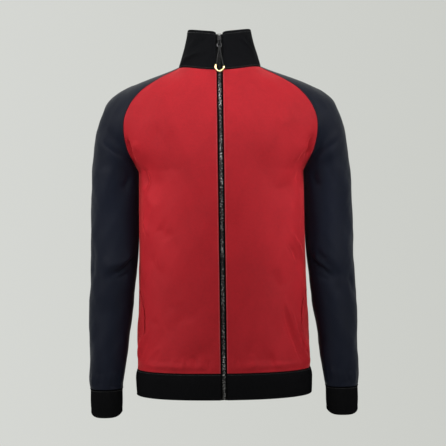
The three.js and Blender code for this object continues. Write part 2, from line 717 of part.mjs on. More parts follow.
// Cuts the closure's rows at a height, adding a row there.
function rowsBelow(rows, topZ) {
  const kept = rows.filter((row) => row.point.z < topZ - 1);
  const last = kept[kept.length - 1];
  const next = rows[kept.length];
  const share = (topZ - last.point.z) / (next.point.z - last.point.z);
  return [
    ...kept,
    {
      point: last.point.clone().lerp(next.point, share),
      inward: last.inward.clone().lerp(next.inward, share).normalize(),
      slope: mix(last.slope, next.slope, share),
    },
  ];
}

// The panel's own cells at a height, between two of its rows.
function rowAt(grid, z) {
  const above = grid.findIndex((row) => row[1].point.z > z);
  const [low, high] = [grid[above - 1], grid[above]];
  return low.map((cell, j) => {
    const share = (z - cell.point.z) / (high[j].point.z - cell.point.z);
    return {
      point: cell.point.clone().lerp(high[j].point, share),
      out: cell.out.clone().lerp(high[j].out, share).normalize(),
    };
  });
}

// The point of a row that lies a distance along the cloth from where the row crosses x.
function walkRow(row, x, distance) {
  let j = row.findIndex((cell) => cell.point.x > x) - 1;
  let share = (x - row[j].point.x) / (row[j + 1].point.x - row[j].point.x);
  let left = distance;
  while (j < row.length - 2) {
    const room = (1 - share) * row[j].point.distanceTo(row[j + 1].point);
    if (left < room) break;
    left -= room;
    share = 0;
    j += 1;
  }
  share += left / row[j].point.distanceTo(row[j + 1].point);
  return {
    point: row[j].point.clone().lerp(row[j + 1].point, share),
    out: row[j].out.clone().lerp(row[j + 1].out, share).normalize(),
  };
}

// A pocket welt lies on its panel: three columns from the opening's edge towards the side seam.
const pocketX = column(POCKET_EDGE, "z", "x");
function weltGrid(panel) {
  const bottom = POCKET_EDGE[0].z;
  const top = POCKET_EDGE[POCKET_EDGE.length - 1].z;
  return range(POCKET_STEPS).map((i) => {
    const z = mix(bottom, top, i / POCKET_STEPS);
    const row = rowAt(panel, z);
    return [0, 0.5, 1].map((share) => {
      const { point, out } = walkRow(row, pocketX(z), share * WELT.width);
      return { point: point.addScaledVector(out, WELT.lift + WELT.thickness), out };
    });
  });
}

// Slider: a plate over the chain with a bow on its face, seen here from the side and from the front.
function sliderSolid(wasm) {
  const solidOf = (geometry) => {
    geometry.deleteAttribute("normal");
    geometry.deleteAttribute("uv");
    const merged = mergeVertices(geometry, 1e-4);
    return new wasm.Manifold(
      new wasm.Mesh({
        numProp: 3,
        vertProperties: merged.attributes.position.array,
        triVerts: new Uint32Array(merged.index.array),
      }),
    );
  };
  const { half, length, plate, bow, window: gap, crown } = SLIDER;
  const outline = new THREE.Shape([
    new THREE.Vector2(-half * 0.62, -length / 2),
    new THREE.Vector2(half * 0.62, -length / 2),
    new THREE.Vector2(half * 0.8, -length * 0.2),
    new THREE.Vector2(half, length * 0.3),
    new THREE.Vector2(half * 0.6, length / 2),
    new THREE.Vector2(-half * 0.6, length / 2),
    new THREE.Vector2(-half, length * 0.3),
    new THREE.Vector2(-half * 0.8, -length * 0.2),
  ]);
  const body = new THREE.ExtrudeGeometry(outline, { depth: plate + 1.6, bevelEnabled: false });
  body.rotateX(Math.PI / 2);
  body.translate(0, 1.6, 0);
  const rise = gap + crown;
  const [low, high] = [-length * 0.44, length * 0.3];
  const arch = new THREE.Shape([
    new THREE.Vector2(0.4, low),
    new THREE.Vector2(0.4, high),
    new THREE.Vector2(-rise * 0.82, high),
    new THREE.Vector2(-rise, high - 1.6),
    new THREE.Vector2(-rise, low + 1.6),
    new THREE.Vector2(-rise * 0.82, low),
  ]);
  arch.holes.push(
    new THREE.Path([
      new THREE.Vector2(0, low + crown),
      new THREE.Vector2(-gap, low + crown),
      new THREE.Vector2(-gap, high - crown),
      new THREE.Vector2(0, high - crown),
    ]),
  );
  const bowGeometry = new THREE.ExtrudeGeometry(arch, { depth: bow, bevelEnabled: false });
  bowGeometry.translate(0, 0, -bow / 2);
  // The arch is drawn as (depth, height): turn it so that depth runs along Y and height along Z.
  bowGeometry.applyMatrix4(new THREE.Matrix4().set(0, 0, 1, 0, 1, 0, 0, -plate, 0, 1, 0, 0, 0, 0, 0, 1));
  const joined = solidOf(body).add(solidOf(bowGeometry));
  const mesh = joined.getMesh();
  const geometry = new THREE.BufferGeometry();
  geometry.setAttribute("position", new THREE.Float32BufferAttribute(mesh.vertProperties, 3));
  geometry.setIndex(Array.from(mesh.triVerts));
  return geometry;
}

// A round bar along a curve.
function barGeometry(curve, radius, sides, steps) {
  const section = new THREE.Shape(
    range(sides - 1).map((k) => {
      const angle = (2 * Math.PI * k) / sides;
      return new THREE.Vector2(radius * Math.cos(angle), radius * Math.sin(angle));
    }),
  );
  return new THREE.ExtrudeGeometry(section, { steps, extrudePath: curve, bevelEnabled: false });
}

const MATERIALS = {
  red: new THREE.MeshStandardMaterial({ color: 0xa8242c, roughness: 0.75, metalness: 0 }),
  navy: new THREE.MeshStandardMaterial({ color: 0x1a1e28, roughness: 0.7, metalness: 0 }),
  black: new THREE.MeshStandardMaterial({ color: 0x0e0f11, roughness: 0.8, metalness: 0 }),
  chain: new THREE.MeshStandardMaterial({ color: 0x4a4b4e, roughness: 0.35, metalness: 0.6 }),
  darkMetal: new THREE.MeshStandardMaterial({ color: 0x1c1d20, roughness: 0.4, metalness: 0.7 }),
  brass: new THREE.MeshStandardMaterial({ color: 0xe0bd6a, roughness: 0.25, metalness: 1 }),
};

const jacket = new THREE.Group();
function place(parent, name, geometry, material) {
  geometry.computeVertexNormals();
  const mesh = new THREE.Mesh(geometry, material);
  mesh.name = name;
  parent.add(mesh);
  return mesh;
}

const wasm = await Module();
wasm.setup();

// Cloth, in pairs where the two sides match
const fronts = { 1: frontGrid(1), [-1]: frontGrid(-1) };
const hem = hemGrid();
const collar = collarGrid();
place(jacket, "front_left", wallGeometry(fronts[1], 1, WALL), MATERIALS.red);
place(jacket, "front_right", wallGeometry(mirrorGrid(fronts[-1]), -1, WALL), MATERIALS.red);
place(jacket, "back", wallGeometry(backGrid(), -1, WALL), MATERIALS.red);
place(jacket, "sleeve_left", wallGeometry(sleeveGrid(1), 1, WALL), MATERIALS.navy);
place(jacket, "sleeve_right", wallGeometry(mirrorGrid(sleeveGrid(-1)), -1, WALL), MATERIALS.navy);
place(jacket, "cuff_left", wallGeometry(cuffGrid(), 1, BAND_WALL), MATERIALS.black);
place(jacket, "cuff_right", wallGeometry(mirrorGrid(cuffGrid()), -1, BAND_WALL), MATERIALS.black);
place(jacket, "hem_band", wallGeometry(hem, 1, BAND_WALL), MATERIALS.black);
place(jacket, "collar", wallGeometry(collar, 1, BAND_WALL), MATERIALS.black);
const weltLeft = weltGrid(fronts[1]);
const weltRight = mirrorGrid(weltGrid(fronts[-1]));
place(jacket, "pocket_welt_left", wallGeometry(weltLeft, 1, WELT.thickness), MATERIALS.red);
place(jacket, "pocket_welt_right", wallGeometry(weltRight, -1, WELT.thickness), MATERIALS.red);

// Zip: two tapes behind the edges of the cloth, and the chain between the edges
const closure = closureRows(hem, fronts[1], collar);
const TAPE_FACE = BAND_WALL + 0.3;
const TAPE_THICKNESS = 1;
const CHAIN_FACE = 0.2;
const tapeRows = closure.slice(0, -1);
const tapeTop = closure[closure.length - 1];
tapeRows.push({ ...tapeTop, point: tapeTop.point.clone().add(v3(0, 0, -1)) });
const tapeXs = [0.3, ZIP_HALF, TAPE_EDGE];
place(jacket, "zip_tape_left", stripGeometry(tapeRows, tapeXs, TAPE_FACE, TAPE_THICKNESS), MATERIALS.black);
const rightXs = tapeXs.map((x) => -x).reverse();
place(jacket, "zip_tape_right", stripGeometry(tapeRows, rightXs, TAPE_FACE, TAPE_THICKNESS), MATERIALS.black);
const chainRows = rowsBelow(closure, SLIDER_Z - SLIDER.length / 2 - 0.3);
chainRows[0] = { ...chainRows[0], point: chainRows[0].point.clone().add(v3(0, 0, 2)) };
const chainThickness = TAPE_FACE - 0.3 - CHAIN_FACE;
const chainGeometry = stripGeometry(chainRows, [-CHAIN_HALF, CHAIN_HALF], CHAIN_FACE, chainThickness);
place(jacket, "zip_chain", chainGeometry, MATERIALS.chain);

// Slider and pull lie along the collar's front, which leans back by this angle
const collarFoot = collar[0][0].point;
const collarHead = collar[collar.length - 1][0].point;
const leanBack = Math.atan2(collarHead.y - collarFoot.y, collarHead.z - collarFoot.z);
const atSlider = rowsBelow(closure, SLIDER_Z).pop().point;
const frontage = new THREE.Group();
frontage.position.set(0, atSlider.y, atSlider.z);
frontage.rotation.x = -leanBack;
jacket.add(frontage);
place(frontage, "zip_slider", sliderSolid(wasm), MATERIALS.darkMetal);

// In the slider's frame its middle is the origin, Z runs up the collar and -Y out of it.
// The pull turns about its puller's top bar, just above the foot of the bow.
const hingeZ = -SLIDER.length * 0.44 + SLIDER.crown + PULLER.bar + 0.35;
const hingeY = -SLIDER.plate - SLIDER.window / 2;
const pull = new THREE.Group();
pull.position.set(0, hingeY, hingeZ);
frontage.add(pull);

function pullerGeometry() {
  const { half, bar, slot, reach, drop, outer, hole, thick } = PULLER;
  const outline = new THREE.Shape();
  const shoulderAngle = Math.acos(half / outer);
  outline.moveTo(-half, 0);
  outline.lineTo(-half * 0.8, bar);
  outline.lineTo(half * 0.8, bar);
  outline.lineTo(half, 0);
  outline.absarc(0, -drop, outer, shoulderAngle, Math.PI - shoulderAngle, true);
  const slotHole = new THREE.Path([
    new THREE.Vector2(-slot, -bar),
    new THREE.Vector2(-slot, -reach),
    new THREE.Vector2(slot, -reach),
    new THREE.Vector2(slot, -bar),
  ]);
  const ringHole = new THREE.Path();
  ringHole.absarc(0, -drop, hole, 0, 2 * Math.PI, false);
  outline.holes.push(slotHole, ringHole);
  const geometry = new THREE.ExtrudeGeometry(outline, { depth: thick, curveSegments: 9, bevelEnabled: false });
  geometry.rotateX(Math.PI / 2);
  geometry.translate(0, thick / 2, 0);
  return geometry;
}
place(pull, "pull_ring", pullerGeometry(), MATERIALS.darkMetal);

const tubeCentre = v3(0, -hingeY - PULL_LIFT, -TUBE.drop + TUBE.radius);
const tubeEnd = (sign, extra) => {
  const angle = THREE.MathUtils.degToRad(-90 + TUBE.tilt + (sign * (360 - TUBE.opening)) / 2) + extra;
  return v3(TUBE.radius * Math.cos(angle), 0, TUBE.radius * Math.sin(angle)).add(tubeCentre);
};
class TubeArc extends THREE.Curve {
  getPoint(share) {
    const angle = -90 + TUBE.tilt + (share - 0.5) * (360 - TUBE.opening);
    const turn = THREE.MathUtils.degToRad(angle);
    return v3(TUBE.radius * Math.cos(turn), 0, TUBE.radius * Math.sin(turn)).add(tubeCentre);
  }
}
place(pull, "pull_tube", barGeometry(new TubeArc(), TUBE.bore, 10, 16), MATERIALS.brass);

// The cord leaves the tube's mouths, meets below the ring and goes round its lowest stretch
const mouthGap = 0.35 / TUBE.radius;
const leftMouth = tubeEnd(-1, -mouthGap);
const rightMouth = tubeEnd(1, mouthGap);
const ringFoot = -PULLER.drop - PULLER.outer;
const besideRing = PULLER.thick / 2 + CORD_RADIUS + 0.4;
const insideRing = -PULLER.drop - PULLER.hole + CORD_RADIUS + 0.4;
const cordPath = new THREE.CatmullRomCurve3([
  leftMouth,
  leftMouth.clone().add(v3(0.9, 0.2, 3)),
  v3(-4.6, -1, -38),
  v3(-2.2, -1.4, -25),
  v3(-0.9, -besideRing, ringFoot - 2),
  v3(-0.5, -besideRing, ringFoot + 0.6),
  v3(-0.3, -besideRing * 0.85, insideRing - 0.4),
  v3(0, 0, insideRing + 0.4),
  v3(0.3, besideRing * 0.85, insideRing - 0.4),
  v3(0.5, besideRing, ringFoot + 0.6),
  v3(0.9, besideRing * 0.9, ringFoot - 2),
  v3(2.2, 0.2, -25),
  v3(4.6, -0.6, -38),
  rightMouth.clone().add(v3(-0.9, 0.2, 3)),
  rightMouth,
]);
place(pull, "pull_cord", barGeometry(cordPath, CORD_RADIUS, 6, 40), MATERIALS.black);

export default jacket;
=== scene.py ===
"""Track jacket, filled out as if worn: the looks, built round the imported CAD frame.

The cloth is modelled again as fine thin shells on the same surfaces as the solids, in millimetres.
+Z is up, the front faces -Y and +X is the wearer's left. Meshes are made in metres.
"""

import math

import bmesh
import bpy
import numpy as np
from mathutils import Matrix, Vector


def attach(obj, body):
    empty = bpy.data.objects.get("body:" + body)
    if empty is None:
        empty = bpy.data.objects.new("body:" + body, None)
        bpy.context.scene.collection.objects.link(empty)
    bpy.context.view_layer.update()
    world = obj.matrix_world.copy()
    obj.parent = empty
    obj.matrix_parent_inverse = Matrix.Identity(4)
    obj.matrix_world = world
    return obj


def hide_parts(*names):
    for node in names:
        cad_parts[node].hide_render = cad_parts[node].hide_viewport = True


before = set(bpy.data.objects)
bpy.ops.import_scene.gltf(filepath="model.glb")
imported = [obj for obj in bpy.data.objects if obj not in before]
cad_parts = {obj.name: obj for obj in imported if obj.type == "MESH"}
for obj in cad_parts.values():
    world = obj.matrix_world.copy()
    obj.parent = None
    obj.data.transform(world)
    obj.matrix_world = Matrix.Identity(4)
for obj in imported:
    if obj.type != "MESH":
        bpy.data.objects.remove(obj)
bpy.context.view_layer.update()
MM = 0.001

# Cloth and seams, as in the solids
WALL = 2.0
BAND_WALL = 2.4
TAPE_WALL = 0.9
HALF_GAP = 0.16

# Heights of the main lines
ARMPIT_Z = -214
HEM_SEAM_Z = -614
HEM_Z = -666
NECK_FRONT_Z = -14.5
NECK_BACK_Z = -5
CUFF_SEAM_Z = -650
CUFF_Z = -706
ZIP_HALF = 6.5


def table(names, *rows):
    """Columns of a table by name."""
    return dict(zip(names.split(), np.array(rows, float).T))


TORSO = table(
    "z side front back",
    (-666, 180, 115, 111),
    (-614, 176.5, 113, 108),
    (-560, 175.5, 113, 103),
    (-480, 172.5, 112, 98),
    (-400, 170.2, 113, 98),
    (-320, 169.3, 116, 104),
    (-260, 168.8, 118.5, 111),
    (-214, 168.2, 118, 114),
    (-150, 168.2, 112, 111),
    (-100, 168.2, 102, 101),
    (-50, 168.2, 88, 83),
    (-14.5, 168.2, 77, 65),
    (-5, 168.2, 75, 62),
)
FRONT_RAGLAN = table(
    "x y z",
    (168.2, 0, -214),
    (175.5, -31, -197),
    (186, -53, -174),
    (193, -67, -140),
    (192.5, -70, -112),
    (182.5, -66, -84),
    (158, -58, -52),
    (121, -47.5, -26.5),
    (81, -27, -4),
)
BACK_RAGLAN = table(
    "x y z",
    (168.2, 0, -214),
    (173, 33, -196),
    (180, 57, -172),
    (183, 76, -140),
    (180, 84, -112),
    (168, 82, -84),
    (143, 72, -54),
    (108, 56, -27),
    (73, 33, -3),
)
SHOULDER = table(
    "x y z",
    (264, 0, -214),
    (260.5, 0, -182),
    (256.5, 0, -153),
    (251, 0, -124),
    (243, 0, -98),
    (230.5, 0, -72),
    (211, 0, -54.6),
    (187, 0, -41.2),
    (150, 0, -26.2),
    (110, 0, -12),
    (84, -2, 0),
)
FRONT_CURVES = table(
    "level lead land heading",
    (0, 0.6, 0.41, 90),
    (0.12, 0.53, 0.36, 66),
    (0.3, 0.44, 0.31, 38),
    (0.5, 0.39, 0.28, 27),
    (0.8, 0.39, 0.28, 28),
    (0.93, 0.42, 0.32, 40),
    (1, 0.46, 0.43, 70),
)
BACK_CURVES = table(
    "level lead land heading",
    (0, 0.6, 0.41, 90),
    (0.12, 0.54, 0.36, 64),
    (0.3, 0.46, 0.31, 36),
    (0.5, 0.42, 0.28, 24),
    (0.8, 0.4, 0.28, 27),
    (0.93, 0.42, 0.32, 42),
    (1, 0.46, 0.4, 66),
)
CAP_CURVES = table(
    "level start top open",
    (0, 0.875, 0.875, 0),
    (0.15, 0.66, 0.72, 0.35),
    (0.35, 0.44, 0.52, 0.85),
    (0.5, 0.36, 0.45, 1),
    (1, 0.34, 0.38, 1),
)
ARM = table(
    "z inner outer depth y",
    (-214, 168.2, 264, 63, 0),
    (-250, 169.1, 266.3, 62, 1),
    (-330, 169.7, 267.9, 58.5, 3),
    (-380, 171.9, 269, 56.5, 2),
    (-430, 177, 271.1, 54, -1),
    (-478, 181.5, 272.2, 51, -5),
    (-519, 188, 272.7, 48, -10),
    (-560, 193, 272.7, 45, -15),
    (-601, 198, 272.7, 41.5, -21),
    (-636, 202.5, 272.3, 38.5, -26),
    (-650, 205, 270.5, 36.5, -28),
    (-706, 206, 270, 34.5, -30),
)
COLLAR_TOP = {"side": 64.6, "front": 66, "back": 58, "front_z": 64, "side_z": 75.5, "back_z": 73}
COLLAR_HOLLOW = 0.3
COLLAR_CORNER = 2.5
NOTCH = 4.5
HEM_ELLIPSE = (31000, 12500)
HEM_BULGE = table("down out", (0, 0), (0.18, 3), (0.6, 3.6), (1, 2.6))
CUFF_BULGE = 1.2
CUFF_LIFT = 8

# Large folds of each panel: side (0 is both), ends of the line, width, and how far it stands out.
# The solids have most of them; a few are narrower or deeper here.
LARGE_FOLDS = {
    "front": (
        (-1, (146, -73, -528), (176, -30, -584), 11, 3.6),
        (-1, (139, -79, -518), (166, -48, -578), 8, -3.2),
        (1, (138, -80, -500), (170, -35, -600), 17, 3.4),
        (0, (110, -95, -530), (158, -52, -606), 15, -2.2),
        (-1, (178, -46, -224), (136, -78, -238), 16, -3.6),
        (1, (174, -46, -236), (118, -88, -252), 17, -3.6),
        (0, (150, -72, -300), (156, -62, -262), 26, 2.6),
        (-1, (120, -88, -235), (60, -112, -265), 30, -2.2),
        (1, (70, -112, -228), (128, -90, -250), 28, -2),
        (0, (30, -112, -570), (90, -104, -592), 18, -1.6),
    ),
    "back": (
        (0, (60, 100, -400), (130, 75, -450), 22, -3),
        (0, (70, 104, -330), (150, 60, -300), 24, 3),
        (0, (50, 105, -560), (90, 98, -480), 22, -2.4),
        (0, (150, 70, -200), (112, 92, -262), 24, -2.8),
    ),
    "sleeve": (
        (0, (180, -24, -391), (226, -56, -424), 13, -3),
        (0, (178, -20, -368), (222, -56, -400), 14, 2.4),
        (0, (186, -26, -432), (222, -52, -468), 16, 2),
        (-1, (190, 40, -380), (250, 46, -420), 18, -3),
        (1, (190, 40, -400), (250, 46, -370), 18, -3),
        (0, (190, -52, -222), (216, -58, -290), 24, -2.6),
        (0, (190, 52, -222), (216, 58, -290), 24, -2.6),
        (0, (240, -42, -520), (246, -48, -610), 16, 2),
        (0, (215, -58, -620), (250, -56, -632), 10, 1.6),
    ),
    "collar": (
        (1, (48, -60, 60), (72, -36, 14), 11, 2),
        (-1, (46, -66, 34), (76, -34, 6), 11, 1.6),
    ),
}
# Finer creases of each panel: side, the line's points, width, and how far it stands out before scaling
CREASES = {
    "front": (
        # Under the arms, where the front rolls into the sleeve
        (-1, ((188, -60, -146), (183, -56, -166), (174, -48, -190)), 4.6, -3.6),
        (-1, ((172, -58, -156), (166, -49, -176)), 9, 1.5),
        (-1, ((156, -66, -206), (152, -66, -226), (154, -66, -246)), 9, -1.3),
        (-1, ((157, -48, -214), (153, -56, -236), (152, -60, -258)), 9, -1.5),
        (1, ((183, -66, -146), (178, -56, -168), (170, -40, -190)), 4.6, -3.6),
        (1, ((166, -66, -160), (156, -60, -182), (144, -60, -202)), 9, 1.5),
        (1, ((184, -60, -160), (181, -48, -180)), 4, 1.0),
        (1, ((156, -52, -216), (154, -58, -240)), 9, -1.0),
        # The chest
        (-1, ((66, -109, -146), (28, -114, -160)), 20, -0.5),
        (-1, ((104, -98, -202), (82, -106, -224)), 17, -0.4),
        (1, ((98, -98, -190), (50, -112, -204)), 19, -0.4),
        (0, ((150, -74, -112), (112, -88, -128)), 16, 0.7),
        (-1, ((129, -73, -61), (108, -80, -63), (87, -84, -65)), 4, -0.45),
        (1, ((70, -86, -52), (110, -80, -58)), 5, -0.4),
        # The waist
        (-1, ((150, -63, -252), (138, -78, -278), (122, -88, -296)), 14, 1.0),
        (-1, ((156, -54, -312), (146, -68, -344)), 11, 1.2),
        (-1, ((126, -85, -322), (106, -95, -354)), 13, -1.3),
        (-1, ((146, -65, -376), (130, -80, -411), (110, -91, -432)), 12, -1.0),
        (-1, ((92, -100, -470), (70, -106, -520)), 16, -0.9),
        (1, ((136, -78, -338), (150, -64, -360), (165, -36, -386)), 5, 2.0),
        (1, ((126, -84, -352), (142, -70, -376), (160, -48, -404)), 7, -1.7),
        (1, ((93, -99, -413), (110, -92, -436), (122, -86, -458)), 12, -1.4),
        (1, ((126, -84, -440), (134, -79, -462)), 10, 0.9),
        # Below the pockets and above the hem band
        (1, ((126, -84, -471), (137, -80, -518), (168, -45, -602)), 4.5, 2.2),
        (1, ((118, -88, -474), (129, -84, -524), (159, -56, -603)), 5, -2.2),
        (1, ((141, -74, -520), (154, -62, -556), (174, -28, -594)), 4, -1.6),
        (-1, ((122, -90, -556), (150, -66, -588), (160, -52, -604)), 6, 0.9),
        (0, ((-20, -112, -600), (60, -109, -600), (120, -90, -600), (172, -30, -600)), 7, 1.7),
        (-1, ((60, -109, -576), (57, -109, -607)), 4, -1.4),
        (-1, ((80, -106, -580), (78, -106, -607)), 4, 1.2),
        (-1, ((46, -111, -580), (43, -111, -608)), 4, 1.3),
        (-1, ((31, -112, -584), (28, -112, -608)), 3.5, -1.3),
        (-1, ((96, -103, -580), (104, -100, -606)), 6, 0.8),
        (1, ((24, -113, -578), (27, -113, -606)), 4, -1.2),
        (1, ((58, -110, -576), (62, -109, -607)), 6, 1.1),
        (1, ((92, -104, -576), (98, -102, -607)), 6, -1.1),
    ),
    "back": (
        # The back
        (0, ((176, 60, -160), (164, 70, -190), (150, 76, -214)), 7, -1.8),
        (0, ((166, 72, -158), (146, 88, -186), (120, 98, -214)), 11, 1.4),
        (0, ((150, 62, -352), (90, 92, -380)), 12, -1.2),
        (1, ((120, 84, -420), (40, 98, -404)), 13, 1.0),
        (-1, ((126, 82, -404), (30, 98, -428)), 13, 1.0),
        (0, ((130, 78, -520), (150, 58, -556), (166, 32, -590)), 9, 2.0),
        (0, ((112, 90, -530), (150, 58, -600)), 8, -1.6),
        (0, ((40, 104, -580), (46, 105, -607)), 6, 0.9),
        (0, ((90, 98, -574), (100, 96, -607)), 7, 1.0),
        (0, ((66, 102, -578), (70, 102, -607)), 5, -0.8),
        (0, ((60, 92, -60), (110, 88, -92)), 16, -0.9),
        (0, ((8, 96, -64), (60, 104, -120)), 20, -0.7),
    ),
    "sleeve": (
        # The sleeves: underarm, elbow and wrist
        (0, ((180, -36, -222), (196, -54, -256)), 9, -1.5),
        (0, ((176, 20, -236), (196, 50, -270)), 9, -1.6),
        (
            -1, ((223, -56, -419), (211, -53, -417), (199, -47, -411), (188, -38, -399), (178, -25, -386)),
            4.5, -2.6,
        ),
        (-1, ((225, -58, -406), (205, -52, -398), (190, -42, -388), (182, -30, -378)), 6, 1.6),
        (-1, ((213, -51, -429), (200, -46, -424), (190, -36, -416)), 4, -1.6),
        (-1, ((209, -51, -422), (192, -40, -409)), 3.5, 1.0),
        (1, ((182, -30, -387), (199, -48, -404), (222, -55, -420)), 4, 1.8),
        (1, ((182, -30, -397), (199, -47, -414), (220, -53, -430)), 4.5, -2.4),
        (1, ((188, -38, -378), (210, -54, -398)), 6, -1.4),
        (1, ((188, -35, -424), (200, -45, -430), (216, -51, -436)), 4.5, -1.2),
        (0, ((192, 20, -386), (208, 38, -392), (226, 50, -404)), 6, -2.0),
        (0, ((192, 20, -402), (210, 40, -410), (232, 50, -424)), 6, 1.4),
        (0, ((196, 24, -424), (214, 40, -430)), 6, -1.4),
        (-1, ((258, -34, -360), (264, -22, -430)), 10, -0.8),
        (1, ((254, -40, -420), (264, -20, -470)), 10, -0.8),
        (0, ((210, -64, -606), (213, -64, -644)), 5, -0.9),
        (0, ((226, -66, -616), (231, -66, -645)), 5, 0.8),
        (0, ((246, -60, -610), (249, -58, -645)), 6, -0.8),
        (0, ((263, -44, -614), (264, -42, -645)), 5, 0.7),
        (0, ((206, -20, -610), (208, -12, -645)), 6, 0.8),
        (0, ((236, 14, -604), (240, 10, -645)), 7, 0.9),
    ),
    "collar": (
        # The collar
        (1, ((36, -68, 56), (54, -58, 40), (70, -44, 22)), 3.6, 1.5),
        (1, ((50, -58, 58), (70, -42, 30)), 4, -1.5),
        (-1, ((34, -70, 26), (54, -60, 16), (74, -42, 8)), 5, 1.5),
        (-1, ((26, -68, 54), (42, -62, 38), (58, -56, 28)), 6, -1.3),
        (-1, ((44, -62, 60), (62, -44, 30)), 7, 0.7),
        (0, ((20, -72, 20), (48, -66, 2)), 7, -0.6),
        (0, ((30, 52, 60), (60, 30, 10)), 9, -0.9),
    ),
}

# Soft unevenness of the cloth: wavelengths in mm across and down, and height
RIPPLES = (
    (118, 164, 1.1),
    (63, 97, 0.7),
    (37, 52, 0.32),
    (23, 29, 0.13),
)

POCKET_EDGE = table("z x", (-540, 157), (-516, 156.6), (-486, 158.6), (-469, 163), (-455, 167))
WELT = {"width": 5, "thickness": 1, "lift": 0.5}
POCKET_GROOVE = {"width": 1.1, "depth": 2.8}
# A crease's height is its table's times this and a tenth of its width; at an end it dies out over this share
CREASE = {"height": 1.7, "end": 0.3}
# The body's side and the sleeve's inner side stay plain where they face each other: x and heights
CLEAR = {"body": 166, "body_top": -205, "body_low": -430, "sleeve": 171, "sleeve_low": -470}

SLIDER_Z = 47.8
SLIDER = {"half": 4.2, "length": 13.5, "plate": 1.4, "bow": 1.6, "window": 2.8, "crown": 1.2}
PULLER = {
    "half": 2.3, "bar": 0.6, "slot": 1.25, "reach": 5.9, "drop": 9.9, "outer": 5.2, "hole": 3.3, "thick": 1.4,
}
TUBE = {"radius": 8.3, "bore": 2.1, "drop": 63.3, "tilt": -13, "opening": 134}
CORD_RADIUS = 0.8
PULL_LIFT = 3.8
# How far the collar's front leans back, in radians
LEAN = 0.1499


def vec(x, y, z):
    return np.stack(np.broadcast_arrays(x, y, z), axis=-1).astype(float)


def unit(v):
    return v / np.maximum(np.linalg.norm(v, axis=-1, keepdims=True), 1e-9)


def mix(a, b, share):
    return a + (b - a) * share


def ease(share):
    s = np.clip(share, 0, 1)
    return s * s * (3 - 2 * s)


def column(tab, key, name):
    """A smooth curve through one column of a table, read against another column."""
    xs, ys = tab[key], tab[name]
    steps = np.diff(xs)
    secants = np.diff(ys) / steps
    slopes = np.concatenate([secants[:1], np.zeros(len(xs) - 2), secants[-1:]])
    slopes[1:-1] = (secants[:-1] * steps[1:] + secants[1:] * steps[:-1]) / (steps[:-1] + steps[1:])
    way = math.copysign(1, xs[1] - xs[0])

    def at(x):
        i = np.clip(np.searchsorted(way * xs, way * np.asarray(x, float)) - 1, 0, len(xs) - 2)
        s = np.clip((x - xs[i]) / steps[i], 0, 1)
        rise = s * (1 - s) * ((1 - s) * slopes[i] - s * slopes[i + 1]) * steps[i]
        return mix(ys[i], ys[i + 1], s * s * (3 - 2 * s)) + rise

    return at


def lengths(line):
    """Length along a line up to each of its points."""
    return np.concatenate([[0], np.cumsum(np.linalg.norm(np.diff(line, axis=0), axis=-1))])


def read_at(at, length, values):
    """Rows of values that belong to those lengths, read at others."""
    return np.stack([np.interp(at, length, column) for column in values.T], -1)


def fade(distance, reach):
    """1 at a line or an edge, and less with the distance from it."""
    return np.exp(-((distance / reach) ** 2))


def space_curve(tab):
    """A smooth curve in space through a table of points, read by its share of the length."""
    length = lengths(np.stack([tab[k] for k in "xyz"], axis=1))
    columns = [column({**tab, "length": length}, "length", k) for k in "xyz"]
    return lambda share: vec(*(c(np.clip(share, 0, 1) * length[-1]) for c in columns))


def bezier(a, b, c, d, s):
    s = np.asarray(s)[..., None]
    r = 1 - s
    return r**3 * a + 3 * r * r * s * b + 3 * r * s * s * c + s**3 * d


torso_side, torso_front, torso_back = (column(TORSO, "z", k) for k in ("side", "front", "back"))
front_raglan, back_raglan, shoulder = map(space_curve, (FRONT_RAGLAN, BACK_RAGLAN, SHOULDER))
front_shape = [column(FRONT_CURVES, "level", k) for k in ("lead", "land", "heading")]
back_shape = [column(BACK_CURVES, "level", k) for k in ("lead", "land", "heading")]
cap_start, cap_top, cap_open = (column(CAP_CURVES, "level", k) for k in ("start", "top", "open"))
arm_inner, arm_outer, arm_depth, arm_y = (column(ARM, "z", k) for k in ("inner", "outer", "depth", "y"))
hem_out = column(HEM_BULGE, "down", "out")
pocket_x = column(POCKET_EDGE, "z", "x")


def body_half(across, level, is_front):
    """Half of the body: across is 0 at the centre and 1 at the seam, level -1 at the hem seam, 0 at the
    armpit and 1 at the neck."""
    across, level = np.broadcast_arrays(np.asarray(across, float), np.asarray(level, float))
    facing = -1 if is_front else 1
    neck = NECK_FRONT_Z if is_front else NECK_BACK_Z
    z = np.where(level < 0, mix(ARMPIT_Z, HEM_SEAM_Z, -level), mix(ARMPIT_Z, neck, level))
    depth = (torso_front if is_front else torso_back)(z)
    start = vec(ZIP_HALF if is_front else 0, facing * depth, z)
    raglan = (front_raglan if is_front else back_raglan)(level)
    end = np.where((level < 0)[..., None], vec(torso_side(z), 0, z), raglan)
    lead, land, heading = (c(np.maximum(level, 0)) for c in (front_shape if is_front else back_shape))
    turn = np.radians(heading)
    heading = vec(np.cos(turn), -facing * np.sin(turn), 0)
    x = end[..., :1]
    leave = start + lead[..., None] * x * np.array([1.0, 0, 0])
    arrive = end - land[..., None] * x * heading
    return bezier(start, leave, arrive, end, across)


def front_point(across, level):
    return body_half(across, level, True)


def back_point(across, level):
    return body_half(across, level, False)


def surface_normal(surface, a, b, handed):
    step = 0.01
    along = surface(a + step, b) - surface(a - step, b)
    up = surface(a, b + step) - surface(a, b - step)
    return handed * unit(np.cross(along, up))


def cap_heading(level, is_front, top):
    """Heading of the sleeve's cloth as it leaves the raglan seam."""
    body, raglan = (front_point, front_raglan) if is_front else (back_point, back_raglan)
    normal = surface_normal(body, 0.985, np.clip(level, 0.01, 0.99), 1)
    chord = top - raglan(level)
    flat = unit(chord - normal * (chord * normal).sum(-1, keepdims=True))
    straight = np.array([0.0, -1 if is_front else 1, 0])
    return unit(mix(straight, flat, cap_open(level)[..., None]))


